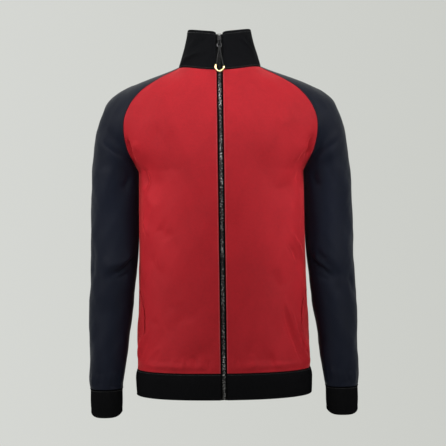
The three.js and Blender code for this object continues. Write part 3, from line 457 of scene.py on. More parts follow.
def cap_half(round_, level, is_front):
    """The front or back half of the sleeve above the armpit."""
    facing = -1 if is_front else 1
    seam = (front_raglan if is_front else back_raglan)(level)
    top = shoulder(level)
    chord = np.linalg.norm(top - seam, axis=-1, keepdims=True)
    leave = seam + cap_heading(level, is_front, top) * cap_start(level)[..., None] * chord
    arrive = top + np.array([0, facing, 0]) * cap_top(level)[..., None] * chord
    return bezier(seam, leave, arrive, top, round_ * 2 if is_front else 2 - round_ * 2)


def cap_point(round_, level):
    """Sleeve above the armpit: round is 0 at the front seam, 0.5 on the shoulder, 1 at the back seam."""
    round_, level = np.broadcast_arrays(np.asarray(round_, float), np.asarray(level, float))
    front = (round_ <= 0.5)[..., None]
    return np.where(front, cap_half(round_, level, True), cap_half(round_, level, False))


def arm_point(round_, z):
    """Sleeve and cuff below the armpit: round is 0 and 1 on the inner side and 0.5 on the outer."""
    round_, z = np.broadcast_arrays(np.asarray(round_, float), np.asarray(z, float))
    front = round_ <= 0.5
    reach = np.where(front, -4 / 3, 4 / 3) * arm_depth(z)
    inner, outer = vec(arm_inner(z), arm_y(z), z), vec(arm_outer(z), arm_y(z), z)
    shift = vec(0, reach, 0)
    return bezier(inner, inner + shift, outer + shift, outer, np.where(front, round_ * 2, 2 - round_ * 2))


def sleeve_point(round_, level):
    """The sleeve: level is -1 at the cuff's seam, 0 at the armpit and 1 at the neck."""
    below = (np.asarray(level) < 0)[..., None]
    arm = arm_point(round_, mix(ARMPIT_Z, CUFF_SEAM_Z, -np.minimum(level, 0)))
    return np.where(below, arm, cap_point(round_, np.maximum(level, 0)))


def raglan_seam(level, is_front):
    """The edge that two pieces share: its point, outward direction, and the way across to the sleeve."""
    raglan, facing = (front_raglan, -1) if is_front else (back_raglan, 1)
    inside = np.clip(level, 0.02, 0.985)
    body = surface_normal(front_point if is_front else back_point, 0.97, inside, 1 if is_front else -1)
    sleeve = surface_normal(cap_point, 0.03 if is_front else 0.97, inside, 1)
    crease = (1 - ease(level / 0.3))[..., None]
    down = vec(0, facing * 0.4 * ease(level / 0.1), -1)
    out = np.where((level == 0)[..., None], [0.0, 0, -1], body + sleeve + 2 * crease * down)
    out = unit(out)
    along = raglan(np.minimum(1, level + 0.01)) - raglan(np.maximum(0, level - 0.01))
    along = np.where((level == 0)[..., None], [0.0, facing, 0], along)
    across = unit(np.cross(along, out))
    return raglan(level), out, across * np.where(across[..., :1] < 0, -1, 1)


def neck_seam(surface, a, handed):
    """The edge at the neck: its point, outward direction, and the way up into the collar."""
    a = np.asarray(a, float)
    point = surface(a, 1.0)
    cloth = surface_normal(surface, np.clip(a, 0.015, 0.985), 0.985, handed)
    outward = unit(unit(vec(point[..., 0], point[..., 1] * 1.2, 0)) + np.array([0, 0, 0.2]))
    out = unit(cloth + outward)
    step = surface(np.minimum(1, a + 0.01), 1.0) - surface(np.maximum(0, a - 0.01), 1.0)
    up = unit(np.cross(step, out))
    return point, out, up * np.where(up[..., 2:] < 0, -1, 1)


def fold_offset(points, on, side):
    """How far the folds and creases move points of the cloth along its normal."""
    offset = np.zeros(points.shape[:-1])
    for only, start, end, width, out in LARGE_FOLDS[on]:
        if only in (0, side):
            offset += out * fade(line_distance(points, (start, end))[0], width)
    for only, line, width, out in CREASES.get(on, ()):
        if only in (0, side):
            away, share = line_distance(points, laid_on(points, line))
            # A crease widens and dies out towards its ends, and wanders a little
            ends = np.clip(np.minimum(share, 1 - share) / CREASE["end"], 0, 1)
            wide = width * (1.25 - 0.35 * ends) * (1 + 0.2 * np.sin(9 * share + width + line[0][0]))
            height = (CREASE["height"] + width / 10) * out * (0.15 + 0.85 * ease(ends))
            offset += height * fade(away, wide)
    return offset


def laid_on(points, line):
    """A line of many short steps on the cloth, near a few given points as seen from the front or back."""
    line = np.array(line, float)
    wanted = read_at(np.linspace(0, 1, 13), np.linspace(0, 1, len(line)), line)
    flat = points.reshape(-1, 3)
    apart = (flat[None] - wanted[:, None]) * [1, 0.2, 1]
    found = flat[np.argmin((apart**2).sum(-1), axis=1)]
    found[1:-1] = (found[:-2] + 2 * found[1:-1] + found[2:]) / 4
    return found


def line_distance(points, line):
    """Distance from points to a line of straight pieces, and their share of its length."""
    line = np.array(line, float)
    along = lengths(line)
    nearest, share = np.full(points.shape[:-1], np.inf), np.zeros(points.shape[:-1])
    for start, end, low, high in zip(line[:-1], line[1:], along, along[1:]):
        part = np.clip((points - start) @ (end - start) / ((end - start) ** 2).sum(), 0, 1)
        away = np.linalg.norm(points - start - part[..., None] * (end - start), axis=-1)
        closer = away < nearest
        nearest = np.where(closer, away, nearest)
        share = np.where(closer, mix(low, high, part) / along[-1], share)
    return nearest, share


def ripple_offset(points, side):
    """Low uneven waves over the whole cloth."""
    x, y, z = np.moveaxis(points, -1, 0)
    offset = 0
    for n, (wide, tall, height) in enumerate(RIPPLES):
        phase = 1.7 * n + 0.9 * side
        bend = 0.6 * np.sin(2 * np.pi * z / (2.3 * tall) + phase)
        across = np.sin(2 * np.pi * (x + 0.6 * y) / wide + phase + bend)
        down = np.sin(2 * np.pi * z / tall + 1.3 * phase + 1.2 * np.sin(2 * np.pi * x / (1.9 * wide)))
        offset = offset + height * across * down
    return offset


# Where a grid has lines beside a rounded edge, in mm
EDGE_STEPS = (0, 0.13, 0.5, 1.0, 2.0, 4.0)
FAR = 1e3
# Which ends of a grid count
FIRST, LAST = (True, False), (False, True)
MIRROR = np.array([-1, 1, 1])


def spaced(count, length, low=True, high=True):
    """Shares from 0 to 1 with extra ones at the ends, for a rounded edge on cloth of that length in mm."""
    near = [d / length for d in EDGE_STEPS]
    middle = np.linspace(near[-1] if low else 0, 1 - near[-1] if high else 1, count + 1)
    return np.concatenate([near[:-1] if low else [], middle, [1 - d for d in near[-2::-1]] if high else []])


def grid_normals(points, handed, ring_rows=None):
    """Outward normals of a grid of points. ring_rows says which rows close into a ring."""
    beside = np.pad(points, ((0, 0), (1, 1), (0, 0)), "edge")
    if ring_rows is not None:
        beside[ring_rows, 0] = points[ring_rows, -2]
        beside[ring_rows, -1] = points[ring_rows, 1]
    above = np.pad(points, ((1, 1), (0, 0), (0, 0)), "edge")
    return handed * unit(np.cross(beside[:, 2:] - beside[:, :-2], above[2:] - above[:-2]))


def edge_distance(points, axis, ends=(True, True)):
    """Distance in mm from each point to the nearest of the named ends, along the grid."""
    steps = np.linalg.norm(np.diff(points, axis=axis), axis=-1)
    zero = np.zeros_like(np.take(steps, [0], axis=axis))
    along = np.concatenate([zero, np.cumsum(steps, axis=axis)], axis=axis)
    total = np.take(along, [-1], axis=axis)
    return np.minimum(along if ends[0] else FAR, total - along if ends[1] else FAR)


def mesh_piece(name, vertices, faces, material, body="jacket", smooth=True, uv=None):
    """A new object from points in mm, with its material, riding on a body."""
    mesh = bpy.data.meshes.new(name)
    mesh.from_pydata((np.asarray(vertices) * MM).tolist(), [], [tuple(map(int, f)) for f in faces])
    if uv is not None:
        layer = mesh.uv_layers.new(name="cloth")
        corner = np.empty(len(mesh.loops), np.int32)
        mesh.loops.foreach_get("vertex_index", corner)
        layer.data.foreach_set("uv", (np.asarray(uv)[corner] * MM).astype(np.float32).ravel())
    mesh.polygons.foreach_set("use_smooth", np.full(len(mesh.polygons), smooth))
    mesh.materials.append(material)
    mesh.update()
    piece = bpy.data.objects.new(name, mesh)
    bpy.context.scene.collection.objects.link(piece)
    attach(piece, body)
    return piece


def shell(name, points, out, thickness, material, mirror=False, ring_rows=None, round_sides=True):
    """A thin closed wall with rounded edges, from a grid of outer points. Rows in ring_rows share their
    end points, and round_sides says whether the first and the last column are rounded too."""
    rows, columns = points.shape[:2]
    if ring_rows is None:
        ring_rows = np.zeros(rows, bool)
    radius = thickness / 2 - 0.05
    to_side = edge_distance(points, 1, (round_sides, round_sides)) + np.zeros((rows, columns))
    to_side[ring_rows] = FAR
    near = np.clip(radius - np.minimum(to_side, edge_distance(points, 0)), 0, radius)
    dip = radius - np.sqrt(np.maximum(radius**2 - near**2, 0))
    outer = points - out * dip[..., None]
    inner = points - out * (thickness - dip)[..., None]
    across = edge_distance(points, 1, FIRST)
    down = lengths(points[:, columns // 2])
    uv = np.stack([across - across[:, -1:] / 2, np.broadcast_to(down[:, None], across.shape)], axis=-1)
    # Numbers of the outer points, and of the inner ones
    o = np.arange(rows * columns).reshape(rows, columns)
    o[ring_rows, -1] = o[ring_rows, 0]
    i = o + rows * columns
    row, k = np.arange(rows - 1), np.arange(columns - 1)
    row = row[~(ring_rows[:-1] & ring_rows[1:])]
    corners = (
        (o[:-1, :-1], o[:-1, 1:], o[1:, 1:], o[1:, :-1]),
        (i[:-1, :-1], i[1:, :-1], i[1:, 1:], i[:-1, 1:]),
        (i[row, 0], o[row, 0], o[row + 1, 0], i[row + 1, 0]),
        (o[row, -1], i[row, -1], i[row + 1, -1], o[row + 1, -1]),
        (i[0, k], i[0, k + 1], o[0, k + 1], o[0, k]),
        (o[-1, k], o[-1, k + 1], i[-1, k + 1], i[-1, k]),
    )
    faces = np.concatenate([np.stack(quad, -1).reshape(-1, 4) for quad in corners])
    vertices = np.concatenate([outer.reshape(-1, 3), inner.reshape(-1, 3)])
    if mirror:
        vertices, faces = vertices * MIRROR, faces[:, ::-1]
    used, faces = np.unique(faces, return_inverse=True)
    tidy = [list(dict.fromkeys(face)) for face in faces.reshape(-1, 4).tolist()]
    uvs = np.concatenate([uv.reshape(-1, 2)] * 2)[used]
    return mesh_piece(name, vertices[used], [face for face in tidy if len(face) > 2], material, uv=uvs)


# Panels

RAGLAN_LENGTH = 215
# In mm: where the folds start beside an edge, where the cloth turns to its seam's direction (at the raglan
# and at the neck), and where the two sides of a seam draw apart
HOLD, SEAM_TURN, NECK_TURN, GAP_REACH = 9, 7, 6, 3


def panel_levels(rows, below):
    """Levels from the lower seam at -1, over the armpit at 0, to the neck at 1."""
    lower, upper = spaced(rows * 2 // 3, below, high=False), spaced(rows // 3, RAGLAN_LENGTH, low=False)
    levels = np.concatenate([lower[:-1] - 1, upper])
    levels[np.abs(levels) < 1e-9] = 0
    return levels


def turned_to(out, towards, distance, reach):
    """Outward directions that take another one near an edge, so both sides of a seam have the same."""
    return unit(mix(out, towards, fade(distance, reach)[..., None]))


def body_grid(is_front, side, rows=186, columns=80):
    """Outer points and outward directions of one half of the body."""
    surface, handed = (front_point, 1) if is_front else (back_point, -1)
    levels = panel_levels(rows, 400)
    across = spaced(columns, 250, low=is_front)
    if is_front:
        # Closer columns beside the pocket
        close = np.linspace(0.84, 0.955, 40)
        across = np.sort(np.concatenate([across[(across < 0.838) | (across > 0.957)], close]))
    points = surface(across[None, :], levels[:, None])
    out = grid_normals(points, handed)
    _, seam_out, seam_across = raglan_seam(np.maximum(levels, 0), is_front)
    _, neck_out, neck_up = neck_seam(surface, across, handed)
    upper = (levels >= 0)[:, None]

    x, z = points[..., 0], points[..., 2]
    facing_sleeve = ease((z - CLEAR["body_low"]) / 60) * (z < CLEAR["body_top"])
    hold = ease(edge_distance(points, 0) / HOLD) * ease(edge_distance(points, 1, (is_front, True)) / 4)
    hold = hold * mix(1, ease((CLEAR["body"] - x) / 12), facing_sleeve)
    offset = hold * (fold_offset(points, "front" if is_front else "back", side) + ripple_offset(points, side))
    if is_front:
        in_line = fade(x - pocket_x(z), POCKET_GROOVE["width"])
        low, high = POCKET_EDGE["z"][0] - 4, POCKET_EDGE["z"][-1] + 4
        offset -= POCKET_GROOVE["depth"] * in_line * ease((z - low) / 6) * ease((high - z) / 6)
    points = points + out * offset[..., None]

    from_side = edge_distance(points, 1, LAST)
    side_out = np.where(upper, seam_out, [1.0, 0, 0])
    out = turned_to(grid_normals(points, handed), side_out[:, None], from_side, SEAM_TURN)
    out = turned_to(out, neck_out[None], edge_distance(points, 0, LAST), NECK_TURN)
    if not is_front:
        out[:, 0, 0] = 0
        out = unit(out)

    # Room at the seams
    shift = np.where(upper, -seam_across, [0.0, -1 if is_front else 1, 0]) * HALF_GAP
    points = points + shift[:, None] * fade(from_side, GAP_REACH)[..., None]
    points[-1] -= neck_up * HALF_GAP
    points[0, :, 2] += HALF_GAP
    return points, out


def sleeve_grid(side, rows=190, columns=110):
    """Outer points and outward directions of a sleeve, and which of its rows are closed rings."""
    levels = panel_levels(rows, 436)
    around = spaced(columns, 280)
    points = sleeve_point(around[None, :], levels[:, None])
    rings = levels <= 0
    out = grid_normals(points, 1, rings)

    from_seam = edge_distance(points, 1)
    near_armpit = np.broadcast_to(np.clip(levels / 0.06, 0, 1)[:, None], from_seam.shape)
    hold = ease(edge_distance(points, 0) / HOLD) * mix(1, ease(from_seam / 7), near_armpit)
    facing_body = ease((points[..., 2] - CLEAR["sleeve_low"]) / 60)
    hold = hold * mix(1, ease((points[..., 0] - CLEAR["sleeve"]) / 14), facing_body)
    offset = hold * (fold_offset(points, "sleeve", side) + ripple_offset(points, side + 2))
    points = points + out * offset[..., None]
    points[rings, -1] = points[rings, 0]
    out = grid_normals(points, 1, rings)

    for is_front, end in ((True, FIRST), (False, LAST)):
        _, seam_out, seam_across = raglan_seam(np.maximum(levels, 0), is_front)
        distance = np.where((levels >= 0)[:, None], edge_distance(points, 1, end), FAR)
        out = turned_to(out, seam_out[:, None], distance, SEAM_TURN)
        points = points + seam_across[:, None] * HALF_GAP * fade(distance, GAP_REACH)[..., None]
    _, neck_out, neck_up = neck_seam(cap_point, around, 1)
    out = turned_to(out, neck_out[None], edge_distance(points, 0, LAST), NECK_TURN)
    points[-1] -= neck_up * HALF_GAP
    points[0, :, 2] += HALF_GAP
    points[rings, -1] = points[rings, 0]
    return points, out, rings


def neck_ring(front_across, sleeve_round, back_across):
    """The left half of the neck seam from the zip to the centre back."""
    parts = [
        neck_seam(front_point, front_across, 1),
        neck_seam(cap_point, sleeve_round, 1),
        neck_seam(back_point, back_across, -1),
    ]
    return [np.concatenate([p[k] for p in parts]) for k in range(3)]


def collar_half(side, columns=(34, 26, 30), rows=34):
    """Half of the collar from the zip to the centre back, with columns over the front, sleeve and back."""
    front = spaced(columns[0], 90, high=False)
    over_sleeve, over_back = np.linspace(0, 1, columns[1] + 1)[1:-1], np.linspace(1, 0, columns[2] + 1)
    point, out, up = neck_ring(front, over_sleeve, over_back)
    # The way up turns evenly along the ring, through the meetings of the pieces
    for _ in range(12):
        up[1:-1] = unit((up[:-2] + up[2:] + 2 * up[1:-1]) / 4)
    base = point + up * HALF_GAP
    is_front = base[:, 1] < 0
    neck = {"side": 84, "front": 77, "back": 62}
    angle = np.arctan2(base[:, 0] / neck["side"], -base[:, 1] / np.where(is_front, neck["front"], neck["back"]))
    turn = np.cos(angle)
    depth = np.where(is_front, COLLAR_TOP["front"], COLLAR_TOP["back"])
    end_z = np.where(is_front, COLLAR_TOP["front_z"], COLLAR_TOP["back_z"])
    top = vec(COLLAR_TOP["side"] * np.sin(angle), -depth * turn, mix(COLLAR_TOP["side_z"], end_z, turn**2))
    # The front corner is cut back in a curve
    top[:, 2] -= COLLAR_CORNER * np.exp(-(top[:, 0] - ZIP_HALF) / 5)
    heights = spaced(rows, 82)[:, None]
    lean = heights + COLLAR_HOLLOW * heights * (1 - heights)
    shares = np.stack(np.broadcast_arrays(lean, lean, heights), -1)
    points = mix(base[None], top[None], shares)
    from_zip = edge_distance(points, 1, FIRST)
    points[..., 0] = mix(points[..., 0], ZIP_HALF + from_zip, fade(from_zip, 5))
    points[:, -1, 0] = 0
    hold = ease(edge_distance(points, 0) / 8) * ease(from_zip / 7)
    hold[:, -1] = 0
    hold = hold * ease(edge_distance(points, 1, LAST) / 12)
    offset = hold * (fold_offset(points, "collar", side) + 0.5 * ripple_offset(points, side + 4))
    points = points + grid_normals(points, 1) * offset[..., None]
    out = turned_to(grid_normals(points, 1), out[None], edge_distance(points, 0, FIRST), 5)
    out[:, -1, 0] = 0
    return points, unit(out)


def join_halves(left, right):
    """A C-shaped grid from two halves that run from the zip to the centre back."""
    return tuple(np.concatenate([a, (b * MIRROR)[:, -2::-1]], axis=1) for a, b in zip(left, right))


def hem_half(side, columns=(60, 56), rows=26):
    """Half of the hem band from the zip to the centre back, with columns over the front and the back."""
    front = front_point(spaced(columns[0], 200, high=False), -1.0)
    back = back_point(np.linspace(1, 0, columns[1] + 1)[1:], -1.0)
    ring = np.concatenate([front, back])
    out = unit(vec(ring[:, 0] / HEM_ELLIPSE[0], ring[:, 1] / HEM_ELLIPSE[1], 0))
    out[0] = (0, -1, 0)
    down = spaced(rows, 50)[::-1][:, None]
    points = ring[None] + out[None] * hem_out(down)[..., None]
    points[..., 2] = mix(HEM_SEAM_Z - HALF_GAP, HEM_Z, down)
    along = lengths(ring)[None]
    # The band gathers the cloth a little along its seam, and ripples
    gather = 0.35 * np.sin(2 * np.pi * along / 17 + 1.5 * np.sin(along / 41) + side) * np.exp(-down * 5)
    sway = 0.7 * np.sin(2 * np.pi * along / 118 + side) * down
    hold = ease(edge_distance(points, 1) / 14) * ease(edge_distance(points, 0) / 3)
    points = points + grid_normals(points, 1) * (hold * (gather + sway))[..., None]
    out = grid_normals(points, 1)
    out[:, -1, 0] = 0
    return points, unit(out)


def cuff_grid(side, columns=72, rows=26):
    """Outer points and outward directions of a cuff, and its rows, which are all closed rings."""
    down = spaced(rows, 53)[::-1][:, None]
    z = mix(CUFF_SEAM_Z, CUFF_Z, down)
    points = arm_point(np.linspace(0, 1, columns + 1)[None], z)
    out = unit(points - vec((arm_inner(z) + arm_outer(z)) / 2, arm_y(z), z))
    length = np.linspace(0, 165, columns + 1)[None]
    gather = 0.3 * np.sin(2 * np.pi * length / 13.75 + side) * np.exp(-down * 5)
    bulge = CUFF_BULGE * np.sin(np.pi * np.minimum(1, down * 1.25)) - 0.4
    points = points + out * (bulge + gather * ease(edge_distance(points, 0) / 3))[..., None]
    points[..., 2] += CUFF_LIFT * down**2 * out[..., 0] ** 4
    points[-1, :, 2] -= HALF_GAP
    points[:, -1] = points[:, 0]
    rings = np.full(len(points), True)
    return points, grid_normals(points, 1, rings), rings


def closure_path(hem, front, collar):
    """Lengths up the middle of the front, and there: the points, the way out, and the slope of the cloth."""
    rows = [(hem[0][:-1], hem[1][:-1]), front, (collar[0][1:], collar[1][1:])]
    edge = np.concatenate([p[:, 0] for p, _ in rows])
    beside = np.concatenate([p[:, 8] for p, _ in rows])
    out = np.concatenate([n[:, 0] for _, n in rows]) * [0, 1, 1]
    slope = (beside[:, 1] - edge[:, 1]) / np.maximum(beside[:, 0] - edge[:, 0], 1)
    path = edge * [0, 1, 1]
    length = lengths(path)
    even = np.append(np.arange(0, length[-1], 4.0), length[-1])
    turn = read_at(even, length, np.column_stack([out, slope]))
    turn = np.stack([np.convolve(np.pad(v, 2, "edge"), np.ones(5) / 5, "valid") for v in turn.T], -1)
    return even, read_at(even, length, path), unit(turn[:, :3]), turn[:, 3]


def along_closure(closure, at):
    """Point, outward direction and slope at lengths up the closure."""
    length, points, out, slope = closure
    return read_at(at, length, points), unit(read_at(at, length, out)), np.interp(at, length, slope)


def height_on_closure(closure, z):
    return float(np.interp(z, closure[1][:, 2], closure[0]))


def tape_grid(closure):
    """The left tape of the zip, from behind the edge of the cloth to the middle."""
    top = closure[0][-1] - 1
    at = spaced(150, top) * top
    points, out, slope = along_closure(closure, at)
    xs = mix(0.35, 15, spaced(16, 15))
    lag = np.maximum(0, xs[None] - ZIP_HALF) * slope[:, None]
    grid = points[:, None] + vec(xs[None], lag, 0) - out[:, None] * (BAND_WALL + 0.3)
    # The tapes' tops part in a small notch
    cut = NOTCH * np.exp(-np.maximum(0, xs - 0.35) / 5)
    grid[..., 2] -= cut[None] * ease((at[:, None] - top + 30) / 30)
    return grid, np.broadcast_to(out[:, None], grid.shape).copy()


def merged(parts):
    """One list of vertices and faces from several."""
    vertices, faces, start = [], [], 0
    for v, f in parts:
        vertices.append(v)
        faces += [[start + k for k in face] for face in f]
        start += len(v)
    return np.concatenate(vertices), faces


def tube_faces(rings, sides):
    """Faces of a tube of rings of points, capped at both ends."""
    faces = []
    for ring in range(rings - 1):
        for k in range(sides):
            a, b = ring * sides + k, ring * sides + (k + 1) % sides
            faces.append([a, b, b + sides, a + sides])
    last = (rings - 1) * sides
    return [*faces, list(range(sides))[::-1], list(range(last, last + sides))]


TOOTH_HALF = ((3.0, 0.5), (1.3, 0.56), (0.2, 0.36), (-0.95, 0.5))
TOOTH_OUTLINE = np.array([*TOOTH_HALF, *((x, -z) for x, z in TOOTH_HALF[::-1])])
# Depth and size of the outline at each layer
TOOTH_LAYERS = ((0.55, 0.84), (0.78, 1.0), (1.9, 1.0), (2.3, 0.9))


def zip_teeth(closure):
    """Moulded teeth, alternately from the left and the right, and apart above the slider."""
    low, high = (height_on_closure(closure, SLIDER_Z + way * SLIDER["length"] / 2) for way in (-1, 1))
    places = [(s, 1 if k % 2 else -1, 0) for k, s in enumerate(np.arange(2.5, low, 1.25))]
    places += [(s, side, 1.1) for side in (1, -1) for s in np.arange(high + 0.6, closure[0][-1] - 3, 2.5)]
    points, out, _ = along_closure(closure, [place[0] for place in places])
    along = unit(np.cross([1.0, 0, 0], -out))
    along = along * np.sign(along[:, 2:])
    faces = tube_faces(len(TOOTH_LAYERS), len(TOOTH_OUTLINE))
    parts = []
    for (_, side, apart), p, o, t in zip(places, points, out, along):
        rings = []
        for depth, size in TOOTH_LAYERS:
            x = (TOOTH_OUTLINE[:, 0] - 1) * size + 1 + apart
            rings.append(p + vec(x * side, 0, 0) + TOOTH_OUTLINE[:, 1:] * size * t - o * depth)
        parts.append((np.concatenate(rings), [face[::-side] for face in faces]))
    return merged(parts)


def sweep(path, radius, sides):
    """A tube along points, capped at both ends. Returns vertices, faces and UVs."""
    tangent = unit(np.gradient(path, axis=0))
    normal = np.cross(tangent[0], [0.3, 1, 0.2])
    normals = []
    for t in tangent:
        normal = unit(normal - t * (normal @ t))
        normals.append(normal)
    normals = np.array(normals)
    turn = 2 * np.pi * np.arange(sides) / sides
    across = np.cross(tangent, normals)
    ring = normals[:, None] * np.cos(turn)[:, None] + across[:, None] * np.sin(turn)[:, None]
    uv = np.stack(np.broadcast_arrays(turn * radius, lengths(path)[:, None]), -1)
    return (path[:, None] + ring * radius).reshape(-1, 3), tube_faces(len(path), sides), uv.reshape(-1, 2)


def evenly(points, out, step):
    """Points, outward directions and the way on, at even steps along a line."""
    length = lengths(points)
    count = max(2, int(length[-1] / step))
    at = (np.arange(count) + 0.5) * length[-1] / count
    behind, ahead = (read_at(at + d, length, points) for d in (-0.2, 0.2))
    return read_at(at, length, points), unit(read_at(at, length, out)), unit(ahead - behind)


# Place along the stitch, size and lift of its first rings; the rest mirror them
STITCH_HALF = ((-1.0, 0.3, -0.25), (-0.85, 0.8, 0.0), (-0.3, 1.0, 0.16))
STITCH_RINGS = (*STITCH_HALF, *((-s, size, lift) for s, size, lift in STITCH_HALF[::-1]))


def stitches(lines, step=3.0, long=2.5, radius=0.34, sides=6):
    """Small thread lozenges along lines of (points, outward directions)."""
    turn = (2 * np.pi * np.arange(sides) / sides)[:, None]
    faces = tube_faces(len(STITCH_RINGS), sides)
    parts = []
    for line in lines:
        for p, o, t in zip(*evenly(*line, step)):
            round_ = (np.cross(t, o) * np.cos(turn) + 0.8 * o * np.sin(turn)) * radius
            rings = [p + t * share * long / 2 + round_ * size + o * lift for share, size, lift in STITCH_RINGS]
            parts.append((np.concatenate(rings), faces))
    return merged(parts)


def line_beside(points, out, axis, distance, from_end=False, mirror=False):
    """The line that runs along a grid at a distance in mm from one of its edges."""
    if axis == 0:
        points, out = np.swapaxes(points, 0, 1), np.swapaxes(out, 0, 1)
    if from_end:
        points, out = points[:, ::-1], out[:, ::-1]
    line = [(read_at(distance, lengths(p), p), read_at(distance, lengths(p), n)) for p, n in zip(points, out)]
    flip = MIRROR if mirror else 1
    return np.array([p for p, _ in line]) * flip, unit(np.array([n for _, n in line])) * flip


def welt_grid(points, out, steps=40, across=8):
    """A narrow strip of cloth on the front panel, from the pocket opening's edge towards the side."""
    width = WELT["width"]
    near = np.array([0, 0.15, 0.4])
    widths = np.concatenate([near, np.linspace(0, width, across + 1)[1:-1], width - near[::-1]])
    crown = WELT["lift"] + WELT["thickness"] + 0.25 * np.sin(np.pi * widths / width)
    below = points[:, :, 2].mean(axis=1) < ARMPIT_Z + 30
    grid, outs = [], []
    for z in mix(POCKET_EDGE["z"][0], POCKET_EDGE["z"][-1], spaced(steps, 90)):
        heights = points[below, :, 2].T
        row = np.stack([read_at(z, *column) for column in zip(heights, points[below].swapaxes(0, 1))])
        normal = np.stack([read_at(z, *column) for column in zip(heights, out[below].swapaxes(0, 1))])
        length = lengths(row)
        last = int(np.argmax(row[:, 0])) + 1
        at = np.interp(pocket_x(z), row[:last, 0], length[:last]) + widths
        normal = unit(read_at(at, length, normal))
        grid.append(read_at(at, length, row) + normal * crown[:, None])
        outs.append(normal)
    return np.array(grid), np.array(outs)


def along_collar(points):
    """From the slider's own frame, whose Z runs up the collar and -Y out of it, to the object's."""
    c, s = math.cos(LEAN), math.sin(LEAN)
    x, y, z = np.moveaxis(np.asarray(points, float), -1, 0)
    return vec(x, SLIDER_Y + y * c + z * s, SLIDER_Z - y * s + z * c)


def plate_part(outline, holes, half_thickness, bevel):
    """Vertices and faces of a plate with rounded rims, drawn in X and Z, with its thickness along Y."""
    curve = bpy.data.curves.new("plate", "CURVE")
    curve.dimensions, curve.fill_mode = "2D", "BOTH"
    curve.extrude = half_thickness - bevel
    curve.bevel_depth, curve.bevel_resolution, curve.offset = bevel, 3, -bevel
    for points in [outline, *holes]:
        spline = curve.splines.new("POLY")
        spline.points.add(len(points) - 1)
        spline.points.foreach_set("co", np.array([(x, z, 0, 1) for x, z in points]).ravel())
        spline.use_cyclic_u = True
    drawn = bpy.data.objects.new("plate", curve)
    mesh = bpy.data.meshes.new_from_object(drawn)
    work = bmesh.new()
    work.from_mesh(mesh)
    bmesh.ops.remove_doubles(work, verts=work.verts, dist=1e-4)
    bmesh.ops.recalc_face_normals(work, faces=work.faces)
    vertices = np.array([v.co for v in work.verts]) @ np.array([[1, 0, 0], [0, 0, 1], [0, -1, 0]])
    work.verts.index_update()
    faces = [[v.index for v in f.verts] for f in work.faces]
    work.free()
    bpy.data.objects.remove(drawn)
    bpy.data.curves.remove(curve)
    bpy.data.meshes.remove(mesh)
    return vertices, faces


def arc(cx, cz, radius, start, end, count):
    turn = np.radians(np.linspace(start, end, count))
    return list(zip(cx + radius * np.cos(turn), cz + radius * np.sin(turn)))


def rounded(points, radius, count=5):
    """An outline with its corners rounded, by so many points each."""
    points = [np.array(p, float) for p in points]
    made = []
    for k, corner in enumerate(points):
        sides = [points[k - 1] - corner, points[(k + 1) % len(points)] - corner]
        r = min(radius, *(0.45 * np.linalg.norm(side) for side in sides))
        a, b = (corner + r * unit(side) for side in sides)
        for s in np.linspace(0, 1, count):
            made.append(tuple((1 - s) ** 2 * a + 2 * s * (1 - s) * corner + s * s * b))
    return made


def symmetric(half):
    """A whole outline from the half of it on one side."""
    return [*half, *((-x, z) for x, z in half[::-1])]


def slider_parts():
    """A front and a back plate, the post between them, and the bow on the front."""
    half, length, plate = SLIDER["half"], SLIDER["length"], SLIDER["plate"]
    steps = ((0.62, -0.5), (0.8, -0.2), (1, 0.3), (0.6, 0.5))
    outline = rounded(symmetric([(half * x, length * z) for x, z in steps]), 1.6)
    post = rounded(symmetric([(1.3, length * 0.1), (1, length * 0.42)]), 0.5)
    # The bow is seen from the side: drawn as depth and height, with its thickness along X
    gap, crown = SLIDER["window"], SLIDER["crown"]
    rise, low, high = gap + crown, -length * 0.44, length * 0.3
    inner, outer = low + 1.6, high - 1.6
    arch = [(0.4, low), (0.4, high), (-rise * 0.8, high), (-rise, outer), (-rise, inner), (-rise * 0.8, low)]
    window = [(0, low + crown), (-gap, low + crown), (-gap, high - crown), (0, high - crown)]
    bow, bow_faces = plate_part(rounded(arch, 1.1), [rounded(window, 0.7)], SLIDER["bow"] / 2, 0.4)
    parts = [(bow[:, [1, 0, 2]] - [0, plate, 0], [face[::-1] for face in bow_faces])]
    # Outline, half thickness, bevel and depth
    layers = ((outline, 0.75, 0.45, 0.75 - plate), (outline, 0.6, 0.3, 1.9), (post, 1.2, 0.2, 0.7))
    for shape, half_thickness, bevel, y in layers:
        vertices, faces = plate_part(shape, [], half_thickness, bevel)
        parts.append((vertices + [0, y, 0], faces))
    return merged([(along_collar(vertices), faces) for vertices, faces in parts])


def pull_frame(points):
    return along_collar(np.asarray(points, float) + [0, PULL_Y, PULL_Z])


def puller_part():
    """A flat link: a bar in the slider's bow, and the ring that the cord runs through."""
    half, bar, slot, reach = (PULLER[k] for k in ("half", "bar", "slot", "reach"))
    drop, outer, hole, thick = (PULLER[k] for k in ("drop", "outer", "hole", "thick"))
    turn = math.degrees(math.acos(half / outer))
    head = [(-half, 0), (-half * 0.86, bar * 0.7), (-half * 0.6, bar)]
    outline = [*symmetric(head), *arc(0, -drop, outer, turn, -180 - turn, 56)]
    slot_hole = rounded([(-slot, -bar), (-slot, -reach), (slot, -reach), (slot, -bar)], 0.5)
    ring_hole = arc(0, -drop, hole, 0, 360, 41)[:-1]
    vertices, faces = plate_part(outline, [slot_hole, ring_hole], thick / 2, 0.5)
    return pull_frame(vertices), faces


def tube_point(angle):
    turn = np.radians(angle)
    centre = np.array([0, -PULL_Y - PULL_LIFT, -TUBE["drop"] + TUBE["radius"]])
    return centre + TUBE["radius"] * vec(np.cos(turn), 0, np.sin(turn))


def tube_mouths(inside):
    """Angles of the places that lie that many mm inside the tube's two mouths."""
    half = (360 - TUBE["opening"]) / 2 - math.degrees(inside / TUBE["radius"])
    return -90 + TUBE["tilt"] - half, -90 + TUBE["tilt"] + half


